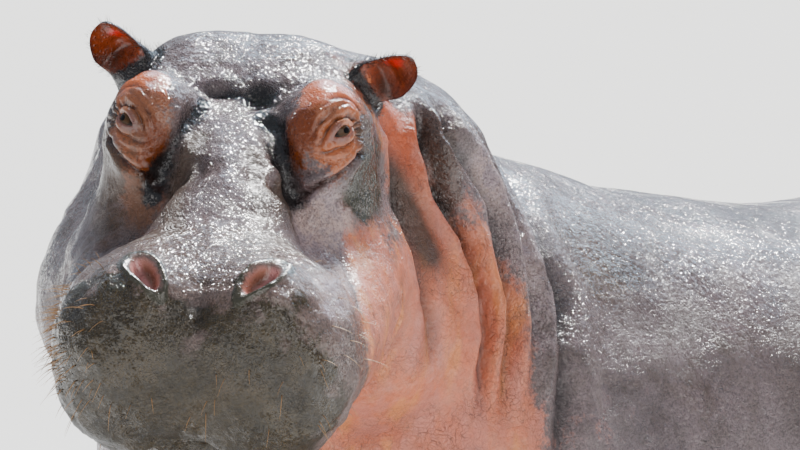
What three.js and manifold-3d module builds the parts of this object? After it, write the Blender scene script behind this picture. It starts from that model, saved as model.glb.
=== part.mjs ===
// A hippopotamus, life size, standing square on four feet with its head raised and turned
// to its left. Millimetres. +Z is up, the trunk faces -Y and the animal's left side is +X.
//
// The flesh is described by fields: a field is below zero inside the body, zero on the skin and
// grows with the distance outside. Balls, bones and barrels are melted together into head,
// torso and legs. Each is turned into a closed surface by shooting rays out from a spine to the
// skin, and then parted with thin flat cuts where a person would name the next part.
import * as THREE from 'three';
import { mergeVertices } from 'three/addons/utils/BufferGeometryUtils.js';
import Module from 'manifold-3d';

const wasm = await Module();
wasm.setup();

const vec = (x, y, z) => new THREE.Vector3(x, y, z);
const rad = THREE.MathUtils.degToRad;

// ---------------------------------------------------------------- driving dimensions
const GAP = 0.3;                       // between neighbouring pieces
const HALF = GAP / 2;

// The head hangs from the nape. In the head's own frame x is left, y is forward, z is up.
const NAPE = vec(170, -1100, 1475);
const HEAD_TURN = rad(43.7);           // to the animal's left
const HEAD_NOD = rad(25.8);            // nose down
const HEAD_ROLL = rad(3.2);            // left side down

// Trunk sections from chest to rump: along, middle height, half width, up, down.
const TRUNK = [
  [-1020, 840, 280, 260, 280],
  [-850, 860, 380, 400, 390],
  [-620, 860, 440, 490, 430],
  [-350, 860, 485, 460, 475],
  [50, 840, 525, 425, 500],
  [420, 840, 520, 425, 490],
  [720, 860, 450, 385, 430],
  [950, 880, 355, 300, 330],
  [1140, 900, 250, 190, 240],
];
const TRUNK_ENDS = [220, 240];         // how far the chest and the rump take to round off
const TRUNK_SQUARE = 2.3;              // 2 is an ellipse, more is boxier

// Snout sections in the head's frame: forward, middle height, half width, up, down.
const SNOUT = [
  [180, 50, 120, 95, 120],
  [300, 45, 98, 106, 120],
  [380, 35, 84, 110, 120],
  [460, 30, 98, 108, 120],
  [530, 20, 130, 108, 120],
  [600, 20, 165, 108, 120],
  [680, 20, 185, 105, 120],
];
const JAW = [
  [50, -180, 170, 100, 120],
  [220, -180, 200, 100, 120],
  [450, -165, 160, 80, 90],
  [600, -145, 160, 70, 80],
  [735, -130, 140, 50, 60],
];
const JAW_CHIN = 100;                  // length over which the chin rounds off
const JAW_BACK = 60;                   // how far forward the lower jaw's cut begins

const EYE = { place: vec(145, 317, 157), radius: 21.5 };
const EAR = {
  root: vec(160, 102, 116),
  reach: 42,                           // root to the middle of the blade
  blade: vec(43, 48, 23),
  hollow: vec(34, 39, 27),
  stem: { low: -20, high: 20, wide: 36, narrow: 26 },
};
// Each ear from root to tip, and the way its hollow opens; the right one is mirrored.
const EARS = [
  { name: 'left', side: 1, out: vec(0.86, -0.08, 0.46), face: vec(0.30, 0.92, -0.06) },
  { name: 'right', side: -1, out: vec(0.72, -0.04, 0.72), face: vec(0.22, 0.95, -0.06) },
];
const NOSTRIL = { place: vec(88, 708, 152), radii: vec(17, 28, 20), turn: rad(-32) };

// Legs: x and y of the foot, and whether it is a foreleg.
const LEGS = [
  { name: 'foreleg_left', fore: true, x: 275, y: -620 },
  { name: 'foreleg_right', fore: true, x: -275, y: -700 },
  { name: 'hindleg_left', fore: false, x: 285, y: 740 },
  { name: 'hindleg_right', fore: false, x: -285, y: 660 },
];
const KNEE = 330;                      // height of the cut between upper and lower leg
const ANKLE = 150;                     // height of the cut between lower leg and foot
const FORE_SHIFT = -20;                // a forefoot is this far from its leg along the trunk
const TOE_SHIFT = -30;                 // and the toes' centre is this far from the foot's
const TOES = { names: ['inner', 'middle', 'third', 'outer'], fan: rad(38), ring: 100 };
const NAIL = { ring: 134, height: 36, radii: vec(23, 18, 26) };

const MOUTH = -130;                    // height of the mouth line in the head's frame
const FACE_CUT = 530;                  // how far forward the muzzle begins
const NECK_CUT = { point: vec(0, -740, 960), normal: vec(0.15, -0.90, 0.42).normalize() };
const SHOULDER_CUT = -360;             // along the trunk
const RUMP_CUT = 500;
const TAIL = [vec(0, 1100, 980), vec(0, 1195, 860), vec(0, 1200, 600)];
const TAIL_CUT = 780;                  // height of the cut across the tail

// ---------------------------------------------------------------- fields
/** The nearer of two distances, with the crease between them filled over the width soft. */
function melted(a, b, soft) {
  const mix = THREE.MathUtils.clamp(0.5 + (0.5 * (b - a)) / soft, 0, 1);
  return b + (a - b) * mix - soft * mix * (1 - mix);
}

/** One field from [field, soft] pairs, each melted into those before it. */
function meltTogether(...pairs) {
  return (x, y, z) => pairs.reduce((so, [field, soft]) => melted(so, field(x, y, z), soft), 1e4);
}

/** An ellipsoid; a power above 2 makes it boxier. */
function ball(cx, cy, cz, rx, ry, rz, power = 2) {
  return (x, y, z) => {
    const [a, b, c] = [(x - cx) / rx, (y - cy) / ry, (z - cz) / rz];
    if (power === 2) {
      const out = Math.hypot(a, b, c) + 1e-9;
      return (out * (out - 1)) / (Math.hypot(a / rx, b / ry, c / rz) + 1e-9);
    }
    const out = (Math.abs(a) ** power + Math.abs(b) ** power + Math.abs(c) ** power) ** (1 / power);
    return Math.hypot(x - cx, y - cy, z - cz) * (1 - 1 / (out + 1e-9));
  };
}

/** A rod from one point to another with a round end of its own radius at each. */
function bone(from, to, fromRadius, toRadius) {
  const run = to.clone().sub(from);
  return (x, y, z) => {
    const off = vec(x, y, z).sub(from);
    const t = THREE.MathUtils.clamp(off.dot(run) / run.lengthSq(), 0, 1);
    return off.addScaledVector(run, -t).length() - (fromRadius + (toRadius - fromRadius) * t);
  };
}

/** The value of one column of a table of sections at a place along it, as a smooth cubic. */
function between(sections, along, column) {
  const slope = (k) => {
    const [before, after] = [sections[Math.max(k - 1, 0)], sections[Math.min(k + 1, last)]];
    return (after[column] - before[column]) / (after[0] - before[0]);
  };
  const last = sections.length - 1;
  const next = sections.findIndex((section) => section[0] > along);
  const k = next < 0 ? last - 1 : Math.max(next - 1, 0);
  const span = sections[k + 1][0] - sections[k][0];
  const t = THREE.MathUtils.clamp((along - sections[k][0]) / span, 0, 1);
  return (2 * t ** 3 - 3 * t ** 2 + 1) * sections[k][column]
    + (t ** 3 - 2 * t ** 2 + t) * span * slope(k)
    + (3 * t ** 2 - 2 * t ** 3) * sections[k + 1][column]
    + (t ** 3 - t ** 2) * span * slope(k + 1);
}

/** Oval sections along y, rounded off over ends[0] and ends[1]. Rows: along, middle, half width, up, down. */
function barrel(sections, ends, square) {
  const [low, high] = [sections[0][0], sections[sections.length - 1][0]];
  return (x, y, z) => {
    const along = THREE.MathUtils.clamp(y, low, high);
    const into = [along - low, high - along];
    const shrink = ends.reduce((so, end, k) => {
      const t = end ? THREE.MathUtils.clamp(1 - into[k] / end, 0, 1) : 0;
      return so * Math.sqrt(Math.max(1 - t * t, 1e-6));
    }, 1);
    const rise = z - between(sections, along, 1);
    const a = x / (between(sections, along, 2) * shrink);
    const b = rise / (between(sections, along, rise > 0 ? 3 : 4) * shrink);
    const out = (Math.abs(a) ** square + Math.abs(b) ** square) ** (1 / square) + 1e-9;
    const distance = Math.hypot(x, rise) * (1 - 1 / out);
    return y === along ? distance : Math.hypot(Math.max(distance, 0), y - along);
  };
}

// ---------------------------------------------------------------- the head's frame
const headFrame = new THREE.Matrix4().makeRotationZ(HEAD_TURN)
  .multiply(new THREE.Matrix4().makeRotationX(HEAD_NOD))
  .multiply(new THREE.Matrix4().makeBasis(
    vec(Math.cos(HEAD_ROLL), 0, -Math.sin(HEAD_ROLL)),
    vec(0, -1, 0),
    vec(Math.sin(HEAD_ROLL), 0, Math.cos(HEAD_ROLL)),
  ))
  .setPosition(NAPE);
const atHead = (x, y, z) => vec(x, y, z).applyMatrix4(headFrame);

// ---------------------------------------------------------------- the flesh
/** Right half of the head in its own frame; the left half mirrors it. */
const halfHead = meltTogether(
  [ball(0, 110, 30, 185, 145, 130, 2.7), 1],            // cranium
  [barrel(SNOUT, [0, 0], 2.7), 40],
  [ball(122, 272, 122, 66, 84, 84), 35],                // eye socket
  [ball(122, 230, 20, 74, 160, 130), 50],               // cheek bone
  [ball(155, 150, -235, 158, 200, 160), 80],            // angle of the jaw
  [bone(vec(140, 300, -100), vec(140, 600, -40), 105, 85), 80], // upper lip
  [ball(0, 668, 10, 190, 124, 120, 2.9), 50],           // muzzle
  [ball(108, 690, -10, 90, 104, 120, 2.2), 50],         // whisker pad
  [ball(86, 700, 112, 54, 62, 36), 30],                 // nostril mound
  [barrel(JAW, [0, JAW_CHIN], 2.6), 50],
);
const headField = (x, y, z) => halfHead(Math.abs(x), y, z);

const neckField = meltTogether(
  [bone(vec(0, -620, 920), atHead(20, -20, -140), 405, 218), 1],
  [bone(atHead(0, 80, -200), vec(0, -860, 740), 230, 330), 150],       // throat
  [bone(atHead(165, -20, -120), vec(240, -740, 840), 170, 260), 70],   // bunched left side
  [bone(atHead(-85, -20, -120), vec(-240, -740, 840), 155, 260), 70],  // stretched right side
);
const torsoField = meltTogether([barrel(TRUNK, TRUNK_ENDS, TRUNK_SQUARE), 1], [neckField, 140]);

/** A leg with its foot, from the shoulder or haunch to the sole. */
function legField({ fore, x, y }) {
  const instep = fore ? y + FORE_SHIFT : y;
  const toes = TOES.names.map((name, k) => {
    const angle = (k - 1.5) * TOES.fan;
    const [toeX, toeY] = [x + TOES.ring * Math.sin(angle), instep + TOE_SHIFT - TOES.ring * Math.cos(angle)];
    return [ball(toeX, toeY, 45, 44, 50, 48), 30];
  });
  const muscle = fore
    ? [
      [ball(x * 1.02, y + 20, 740, 185, 270, 360), 1],
      [bone(vec(x, y + 50, 520), vec(x * 0.99, y, 240), 165, 122), 100],
      [bone(vec(x * 0.99, y, 240), vec(x * 0.99, y - 10, 100), 118, 122), 50],
    ]
    : [
      [ball(x * 0.97, y - 40, 680, 200, 300, 350), 1],
      [bone(vec(x, y - 60, 500), vec(x, y + 50, 300), 172, 120), 100],
      [bone(vec(x, y + 50, 300), vec(x, y + 20, 100), 112, 118), 50],
    ];
  return meltTogether(...muscle, [ball(x, instep - 5, 60, 142, 158, 85, 2.5), 50], ...toes);
}

const tailField = meltTogether([bone(TAIL[0], TAIL[1], 65, 40), 1], [bone(TAIL[1], TAIL[2], 38, 22), 30]);

/** An ear in a frame of its own: x across, y from root to tip, z the way the hollow faces. */
const earBlade = ball(0, EAR.reach, 0, EAR.blade.x, EAR.blade.y, EAR.blade.z, 2.4);
const earStem = bone(vec(0, EAR.stem.low, 0), vec(0, EAR.stem.high, 0), EAR.stem.wide, EAR.stem.narrow);
const earHollow = ball(0, EAR.reach + 8, 26, EAR.hollow.x, EAR.hollow.y, EAR.hollow.z, 2.2);
const earField = (x, y, z) => {
  const leaf = melted(earBlade(x, y, z), earStem(x, y, z), 20);
  return -melted(-leaf, earHollow(x, y, z), 8);
};

// ---------------------------------------------------------------- surfaces
/** How far from a point inside a field its level is met, going one way and no further than far. */
function reach(field, from, way, far, level) {
  const at = (r) => field(from.x + way.x * r, from.y + way.y * r, from.z + way.z * r) - level;
  const stride = far / 60;
  let near = 0;
  while (near < far && at(near + stride) < 0) near += stride;
  let beyond = near + stride;
  for (let k = 0; k < 16; k++) {
    const middle = (near + beyond) / 2;
    if (at(middle) < 0) near = middle;
    else beyond = middle;
  }
  return near;
}

/**
 * The skin of a field around a spine: a sphere's grid is laid over it, with rings square to the
 * spine along its length and a dome of rings over each end. level lifts it off the skin.
 */
function skinOver(field, spine, { around, rings, dome, far, level = 0 }) {
  const rows = rings + 2 * dome;
  const grid = new THREE.SphereGeometry(1, around, rows);
  const { position, uv } = grid.attributes;
  const across = vec(1, 0, 0);
  for (let k = 0; k < position.count; k++) {
    const row = Math.round((1 - uv.getY(k)) * rows) - dome;
    const t = THREE.MathUtils.clamp(row / rings, 0, 1);
    const tilt = ((row - t * rings) / dome) * (Math.PI / 2);
    const angle = 2 * Math.PI * (((uv.getX(k) % 1) + 1) % 1);
    const onward = spine.getTangentAt(t);
    const side = across.clone().addScaledVector(onward, -across.dot(onward)).normalize();
    const lift = side.clone().cross(onward);
    const way = side.multiplyScalar(Math.cos(angle)).addScaledVector(lift, Math.sin(angle))
      .multiplyScalar(Math.cos(tilt)).addScaledVector(onward, Math.sin(tilt));
    if (row === -dome || row === rings + dome) way.copy(onward).multiplyScalar(Math.sign(tilt));
    const centre = spine.getPointAt(t);
    const spot = centre.addScaledVector(way, reach(field, centre, way, far, level));
    position.setXYZ(k, spot.x, spot.y, spot.z);
  }
  return grid;
}

/** A closed three.js surface as a solid that can be cut, with its faces turned outward. */
function solid(surface) {
  const bare = surface.clone();
  bare.deleteAttribute('normal');
  bare.deleteAttribute('uv');
  const shared = mergeVertices(bare, 1e-3);
  const spots = shared.attributes.position;
  const corner = (k) => vec().fromBufferAttribute(spots, k);
  const faces = [];
  let volume = 0;
  for (let k = 0; k < shared.index.count; k += 3) {
    const [a, b, c] = [0, 1, 2].map((j) => shared.index.getX(k + j));
    if (a === b || b === c || c === a) continue;
    faces.push([a, b, c]);
    volume += corner(a).dot(corner(b).cross(corner(c)));
  }
  const outward = volume > 0 ? faces : faces.map(([a, b, c]) => [a, c, b]);
  return new wasm.Manifold(new wasm.Mesh({
    numProp: 3,
    vertProperties: new Float32Array(spots.array),
    triVerts: new Uint32Array(outward.flat()),
  }));
}

/** A block between two corners, in a frame of its own if one is given. */
function block(low, high, frame = new THREE.Matrix4()) {
  const size = high.clone().sub(low);
  const middle = low.clone().add(high).multiplyScalar(0.5);
  const box = new THREE.BoxGeometry(size.x, size.y, size.z).translate(middle.x, middle.y, middle.z);
  return solid(box.applyMatrix4(frame));
}

const WIDE = 4000;                     // larger than the animal

/** Everything on one side of a plane, starting half a gap beyond it. */
function beyond(point, normal) {
  const turn = new THREE.Quaternion().setFromUnitVectors(vec(0, 0, 1), normal);
  const frame = new THREE.Matrix4().compose(point, turn, vec(1, 1, 1));
  return block(vec(-WIDE, -WIDE, HALF), vec(WIDE, WIDE, WIDE), frame);
}

/** Parts a solid with a thin flat cut: what lies on the normal's side, then the rest. */
function parted(body, point, normal) {
  return [normal, normal.clone().negate()].map((way) => body.intersect(beyond(point, way)));
}

const line = (from, to) => new THREE.LineCurve3(from, to);
const Y = vec(0, 1, 0);
const Z = vec(0, 0, 1);

// ---------------------------------------------------------------- materials
const finish = (color, roughness) => new THREE.MeshStandardMaterial({ color, roughness, metalness: 0 });
const FLESH = () => finish(0x7d6a68, 0.45);
const PINK = () => finish(0xb2735c, 0.5);
const EAR_RED = () => finish(0xa04a32, 0.6);
const DARK = () => finish(0x4e4340, 0.4);
const EYE_GLASS = () => finish(0x3a2417, 0.1);
const HORN = () => finish(0x4a3f38, 0.5);

const hippopotamus = new THREE.Group();
function place(name, body, material) {
  const cut = body.getMesh();
  const geometry = new THREE.BufferGeometry();
  geometry.setAttribute('position', new THREE.BufferAttribute(cut.vertProperties, cut.numProp));
  geometry.setIndex(new THREE.BufferAttribute(cut.triVerts, 1));
  geometry.computeVertexNormals();
  const mesh = new THREE.Mesh(geometry, material);
  mesh.name = name;
  hippopotamus.add(mesh);
}

// ---------------------------------------------------------------- spines and their grids
// far is more than the way from the spine to the skin anywhere.
const headSpine = line(vec(0, 60, -60), vec(0, 640, -45));
const headGrid = { around: 30, rings: 13, dome: 3, far: 520 };
const earSpine = line(vec(0, 0, -12), vec(0, 62, -12));
const earGrid = { around: 13, rings: 4, dome: 3, far: 70 };
const torsoSpine = new THREE.CatmullRomCurve3([
  vec(0, 860, 880), vec(0, 300, 840), vec(0, -300, 840), vec(0, -640, 880),
  vec(60, -880, 1050), atHead(20, -40, -150),
]);
const torsoGrid = { around: 26, rings: 20, dome: 3, far: 760 };
const tailSpine = new THREE.CatmullRomCurve3(TAIL);
const tailGrid = { around: 8, rings: 5, dome: 2, far: 120 };
const legSpine = ({ x, y }) => line(vec(x, y, 200), vec(x, y, 740));
const legGrid = { around: 16, rings: 7, dome: 3, far: 420 };
const soleSpine = (x, toesY) => line(vec(x, toesY, 55), vec(x, toesY - TOE_SHIFT, 130));
const soleGrid = { around: 20, rings: 1, dome: 3, far: 240 };

// ---------------------------------------------------------------- head
const headShell = (level) => skinOver(headField, headSpine, { ...headGrid, level });
const headSkin = (level) => solid(headShell(level).applyMatrix4(headFrame));
const forward = atHead(0, 1, 0).sub(NAPE);

const eyes = [['left', 1], ['right', -1]].map(([name, side]) => {
  const spot = atHead(side * EYE.place.x, EYE.place.y, EYE.place.z);
  const globe = (radius) => solid(new THREE.SphereGeometry(radius, 10, 7).translate(spot.x, spot.y, spot.z));
  place(`eye_${name}`, globe(EYE.radius), EYE_GLASS());
  return globe(EYE.radius + 2 * GAP);
});

const nostrils = [1, -1].map((side) => {
  const pit = new THREE.SphereGeometry(1, 8, 6).scale(NOSTRIL.radii.x, NOSTRIL.radii.y, NOSTRIL.radii.z)
    .rotateZ(side * NOSTRIL.turn)
    .translate(side * NOSTRIL.place.x, NOSTRIL.place.y, NOSTRIL.place.z);
  return solid(pit.applyMatrix4(headFrame));
});

const skull = [...eyes, ...nostrils].reduce((so, hole) => so.subtract(hole), headSkin(0))
  .intersect(beyond(NAPE, forward));
const jawRoom = (slack) => block(
  vec(-WIDE, JAW_BACK - slack, -WIDE),
  vec(WIDE, WIDE, MOUTH + slack),
  headFrame,
);
const [muzzle, face] = parted(skull.subtract(jawRoom(HALF)), atHead(0, FACE_CUT, 0), forward);
place('head', face, FLESH());
place('muzzle', muzzle, DARK());
place('lower_jaw', skull.intersect(jawRoom(-HALF)), DARK());

const headRoom = headSkin(GAP).intersect(beyond(NAPE.clone().addScaledVector(forward, -GAP), forward));
EARS.forEach(({ name, side, out, face: opening }) => {
  const way = out.clone().normalize();
  const facing = opening.clone().addScaledVector(way, -opening.dot(way)).normalize();
  const earFrame = new THREE.Matrix4().makeScale(side, 1, 1)
    .multiply(new THREE.Matrix4().makeBasis(way.clone().cross(facing), way, facing).setPosition(EAR.root))
    .premultiply(headFrame);
  const ear = skinOver(earField, earSpine, earGrid);
  place(`ear_${name}`, solid(ear.applyMatrix4(earFrame)).subtract(headRoom), EAR_RED());
});

// ---------------------------------------------------------------- neck and trunk
const torsoSkin = (level) => solid(skinOver(torsoField, torsoSpine, { ...torsoGrid, level }));
const torso = torsoSkin(0).subtract(headRoom);
const [neck, trunk] = parted(torso, NECK_CUT.point, NECK_CUT.normal);
const [behind, shoulders] = parted(trunk, vec(0, SHOULDER_CUT, 0), Y);
const [rump, barrelPiece] = parted(behind, vec(0, RUMP_CUT, 0), Y);
place('neck', neck, PINK());
place('shoulders', shoulders, FLESH());
place('barrel', barrelPiece, FLESH());
place('rump', rump, FLESH());

const torsoRoom = torsoSkin(GAP).add(headRoom);
const tail = solid(skinOver(tailField, tailSpine, tailGrid));
const [tailRoot, tailTip] = parted(tail.subtract(torsoRoom), vec(0, 0, TAIL_CUT), Z);
place('tail_root', tailRoot, FLESH());
place('tail_tip', tailTip, DARK());

// ---------------------------------------------------------------- legs
const aboveFloor = block(vec(-WIDE, -WIDE, 0), vec(WIDE, WIDE, WIDE));
LEGS.forEach((leg) => {
  const { name, fore, x, y } = leg;
  const field = legField(leg);
  const whole = solid(skinOver(field, legSpine(leg), legGrid));
  const [above] = parted(whole.subtract(torsoRoom), vec(0, 0, ANKLE), Z);
  const [upper, lower] = parted(above, vec(0, 0, KNEE), Z);
  place(`${name}_upper`, upper, FLESH());
  place(`${name}_lower`, lower, FLESH());

  const toesY = (fore ? y + FORE_SHIFT : y) + TOE_SHIFT;
  const sole = skinOver(field, soleSpine(x, toesY), soleGrid);
  const [, foot] = parted(solid(sole).intersect(aboveFloor), vec(0, 0, ANKLE), Z);
  const nails = TOES.names.map((toe, k) => {
    const angle = (k - 1.5) * TOES.fan;
    const nail = (slack) => solid(new THREE.SphereGeometry(1, 6, 4)
      .scale(NAIL.radii.x + slack, NAIL.radii.y + slack, NAIL.radii.z + slack)
      .rotateZ(angle)
      .translate(x + NAIL.ring * Math.sin(angle), toesY - NAIL.ring * Math.cos(angle), NAIL.height));
    const order = x > 0 ? toe : TOES.names[TOES.names.length - 1 - k];
    place(`${name}_nail_${order}`, nail(0), HORN());
    return nail(3 * GAP);
  });
  place(`${name}_foot`, nails.reduce((so, nail) => so.subtract(nail), foot), FLESH());
});

// The origin is on the floor under the middle of the whole animal.
const box = new THREE.Box3().setFromObject(hippopotamus);
const centre = box.getCenter(vec(0, 0, 0));
hippopotamus.position.set(-centre.x, -centre.y, -box.min.z);

export default hippopotamus;
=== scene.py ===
"""The finished look of a life-size standing hippopotamus: one creased wet hide over the solids,
with eyes, nails and bristles of their own. Metres, +Z up, the trunk faces -Y, +X is its left."""
import math

import bpy
import numpy as np
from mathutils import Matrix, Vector


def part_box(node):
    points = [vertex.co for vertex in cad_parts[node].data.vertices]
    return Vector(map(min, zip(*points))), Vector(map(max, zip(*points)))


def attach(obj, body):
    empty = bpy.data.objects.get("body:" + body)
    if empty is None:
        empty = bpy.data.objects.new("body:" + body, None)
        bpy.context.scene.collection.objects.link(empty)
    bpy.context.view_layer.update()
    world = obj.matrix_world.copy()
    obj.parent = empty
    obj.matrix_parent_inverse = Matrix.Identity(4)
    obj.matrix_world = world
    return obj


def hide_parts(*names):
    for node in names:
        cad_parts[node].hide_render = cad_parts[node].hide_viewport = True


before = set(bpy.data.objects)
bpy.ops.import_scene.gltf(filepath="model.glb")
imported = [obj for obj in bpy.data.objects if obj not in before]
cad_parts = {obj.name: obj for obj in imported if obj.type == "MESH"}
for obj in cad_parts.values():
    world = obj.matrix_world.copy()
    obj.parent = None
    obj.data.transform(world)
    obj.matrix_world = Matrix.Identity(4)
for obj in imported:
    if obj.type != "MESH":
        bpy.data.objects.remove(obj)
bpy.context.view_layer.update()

rng = np.random.default_rng(7)

# ------------------------------------------------------------------ driving sizes
# The head hangs from the nape. Its own frame is left, forward, up.
NAPE = np.array([.170, -1.100, 1.475])
HEAD_TURN, HEAD_NOD, HEAD_ROLL = np.radians([43.7, 25.8, 3.2])

# Trunk sections: along, middle height, half width, up, down.
TRUNK = np.array([
    (-1.02, .84, .280, .260, .280), (-.85, .86, .380, .400, .390), (-.62, .86, .440, .490, .430),
    (-.35, .86, .485, .460, .475), (.05, .84, .525, .425, .500), (.42, .84, .520, .425, .490),
    (.72, .86, .450, .385, .430), (.95, .88, .355, .300, .330), (1.14, .90, .250, .190, .240)])
SNOUT = np.array([
    (.18, .050, .120, .095, .120), (.30, .045, .098, .106, .120), (.38, .035, .084, .110, .120),
    (.46, .030, .098, .108, .120), (.53, .020, .130, .108, .120), (.60, .020, .165, .108, .120),
    (.68, .020, .185, .105, .120)])
JAW = np.array([
    (.05, -.180, .170, .100, .120), (.22, -.180, .200, .100, .120), (.45, -.165, .160, .080, .090),
    (.60, -.145, .160, .070, .080), (.735, -.130, .140, .050, .060)])
LEGS = [("foreleg_left", .275, -.62), ("foreleg_right", -.275, -.70),
        ("hindleg_left", .285, .74), ("hindleg_right", -.285, .66)]
TOES = ("inner", "middle", "third", "outer")
TOE_FAN = np.radians(38)
TOE_RING = .100

EYE = np.array([.145, .317, .157])
EYE_RADIUS = .0215
EYE_OUT = np.array([.70, .40, .59])          # the way the eye looks
EYE_LONG = np.array([.62, -.76, .10])        # inner corner to outer corner
# Each ear's side, root, way from root to tip, and the way its hollow opens, mirrored to the left.
EARS = [(1, np.array([.160, .102, .116]), np.array([.86, -.08, .46]), np.array([.30, .92, -.06])),
        (-1, np.array([.172, .102, .122]), np.array([.58, -.04, .82]), np.array([.22, .95, -.06]))]
EAR_LENGTH, EAR_WIDE = .086, .045
EAR_DISC = .046                              # radius of the patch of hide that the ear grows from
NOSTRIL = np.array([.080, .706, .148])
NOSTRIL_LONG = np.array([.50, -.86, .05])    # inner end to outer end


def unit(v):
    v = np.asarray(v, float)
    return v / np.linalg.norm(v, axis=-1, keepdims=True)


def head_axes():
    """Rows left, forward, up: rolled about forward, then nodded about left, then turned about up."""
    cr, sr = math.cos(HEAD_ROLL), math.sin(HEAD_ROLL)
    cn, sn = math.cos(HEAD_NOD), math.sin(HEAD_NOD)
    ct, st = math.cos(HEAD_TURN), math.sin(HEAD_TURN)
    rolled = np.array([[cr, 0, -sr], [0, -1, 0], [sr, 0, cr]])
    nodding = np.array([[1, 0, 0], [0, cn, -sn], [0, sn, cn]])
    turning = np.array([[ct, -st, 0], [st, ct, 0], [0, 0, 1]])
    return rolled @ nodding.T @ turning.T


HEAD = head_axes()


def to_head(p):
    return (p - NAPE) @ HEAD.T


def at_head(q):
    return NAPE + np.asarray(q, float) @ HEAD


def square_to(main, hint):
    """Unit vectors: hint made square to main, then main, then their cross product."""
    main = unit(main)
    side = unit(hint - (np.asarray(hint) @ main) * main)
    return side, main, np.cross(side, main)


# ------------------------------------------------------------------ fields
# A field is below zero in the flesh, zero on the skin, and grows with the distance outside.
def melted(a, b, soft):
    """The nearer of two fields, with the crease between them filled over the width soft."""
    mix = np.clip(.5 + .5 * (b - a) / soft, 0, 1)
    return b + (a - b) * mix - soft * mix * (1 - mix)


def ball(p, centre, radii, power=2.0):
    """Where the sum of |offset / radius| to the power is one; a power above 2 is boxier."""
    radii = np.asarray(radii)
    q = (p - centre) / radii
    if power == 2.0:
        out = np.sqrt((q * q).sum(-1)) + 1e-9
        return out * (out - 1) / (np.sqrt(((q / radii) ** 2).sum(-1)) + 1e-9)
    out = (np.abs(q) ** power).sum(-1) ** (1 / power) + 1e-9
    return np.linalg.norm(p - centre, axis=-1) * (1 - 1 / out)


def along_line(p, a, b):
    """How far along a line each point lies, from 0 to 1, and its distance from the line."""
    a, b = np.asarray(a, float), np.asarray(b, float)
    run = b - a
    t = np.clip(((p - a) @ run) / (run @ run), 0, 1)
    return t, np.linalg.norm(p - a - t[..., None] * run, axis=-1)


def bone(p, a, b, from_radius, to_radius):
    """Distance from a line less a radius that changes evenly along it."""
    t, far = along_line(p, a, b)
    return far - (from_radius + (to_radius - from_radius) * t)


def between(sections, along):
    """The other columns of a table of sections at places along it, as one smooth cubic each."""
    knots, values = sections[:, 0], sections[:, 1:]
    slope = np.gradient(values, knots, axis=0)
    k = np.clip(np.searchsorted(knots, along) - 1, 0, len(knots) - 2)
    span = (knots[k + 1] - knots[k])[..., None]
    t = np.clip((along - knots[k])[..., None] / span, 0, 1)
    t2, t3 = t * t, t * t * t
    mixed = ((2 * t3 - 3 * t2 + 1) * values[k] + (t3 - 2 * t2 + t) * span * slope[k]
             + (3 * t2 - 2 * t3) * values[k + 1] + (t3 - t2) * span * slope[k + 1])
    return np.moveaxis(mixed, -1, 0)


def barrel(p, sections, ends, power):
    """Oval sections along the second axis, rounded off over a length at each end."""
    low, high = sections[0, 0], sections[-1, 0]
    along = np.clip(p[..., 1], low, high)
    middle, wide, up, down = between(sections, along)
    shrink = np.ones_like(along)
    for into, end in ((along - low, ends[0]), (high - along, ends[1])):
        if end:
            shrink *= np.sqrt(np.maximum(1 - np.clip(1 - into / end, 0, 1) ** 2, 1e-6))
    rise = p[..., 2] - middle
    a = p[..., 0] / (wide * shrink)
    b = rise / (np.where(rise > 0, up, down) * shrink)
    out = (np.abs(a) ** power + np.abs(b) ** power) ** (1 / power) + 1e-9
    distance = np.hypot(p[..., 0], rise) * (1 - 1 / out)
    beyond = np.abs(p[..., 1] - along)
    return np.where(beyond > 0, np.hypot(np.maximum(distance, 0), beyond), distance)


def mirrored(q):
    """Points of the head with both sides laid on its left."""
    return np.concatenate([np.abs(q[..., :1]), q[..., 1:]], -1)


def head_field(q):
    m = mirrored(q)
    d = ball(m, (0, .110, .030), (.185, .145, .130), 2.7)                          # cranium
    d = melted(d, barrel(q, SNOUT, (0, 0), 2.7), .04)
    d = melted(d, ball(m, (.122, .272, .122), (.066, .084, .084)), .035)           # eye socket
    d = melted(d, ball(m, (.122, .230, .020), (.074, .160, .130)), .05)            # cheek bone
    d = melted(d, ball(m, (.155, .150, -.235), (.158, .200, .160)), .08)           # angle of the jaw
    d = melted(d, bone(m, (.140, .30, -.10), (.140, .60, -.04), .105, .085), .08)  # upper lip
    d = melted(d, ball(m, (0, .668, .010), (.190, .124, .120), 2.9), .05)          # muzzle
    d = melted(d, ball(m, (.108, .690, -.010), (.090, .104, .120), 2.2), .05)      # whisker pad
    d = melted(d, ball(m, (.086, .700, .112), (.054, .062, .036)), .03)            # nostril mound
    return melted(d, barrel(q, JAW, (0, .10), 2.6), .05)


def neck_field(p):
    d = bone(p, (0, -.62, .92), at_head((.02, -.02, -.14)), .405, .218)
    d = melted(d, bone(p, at_head((0, .08, -.20)), (0, -.86, .74), .23, .33), .15)
    for side, out, thick in ((1, .165, .170), (-1, .085, .155)):
        ear_end = at_head((side * out, -.02, -.12))
        d = melted(d, bone(p, ear_end, (side * .24, -.74, .84), thick, .26), .07)
    return d


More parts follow.
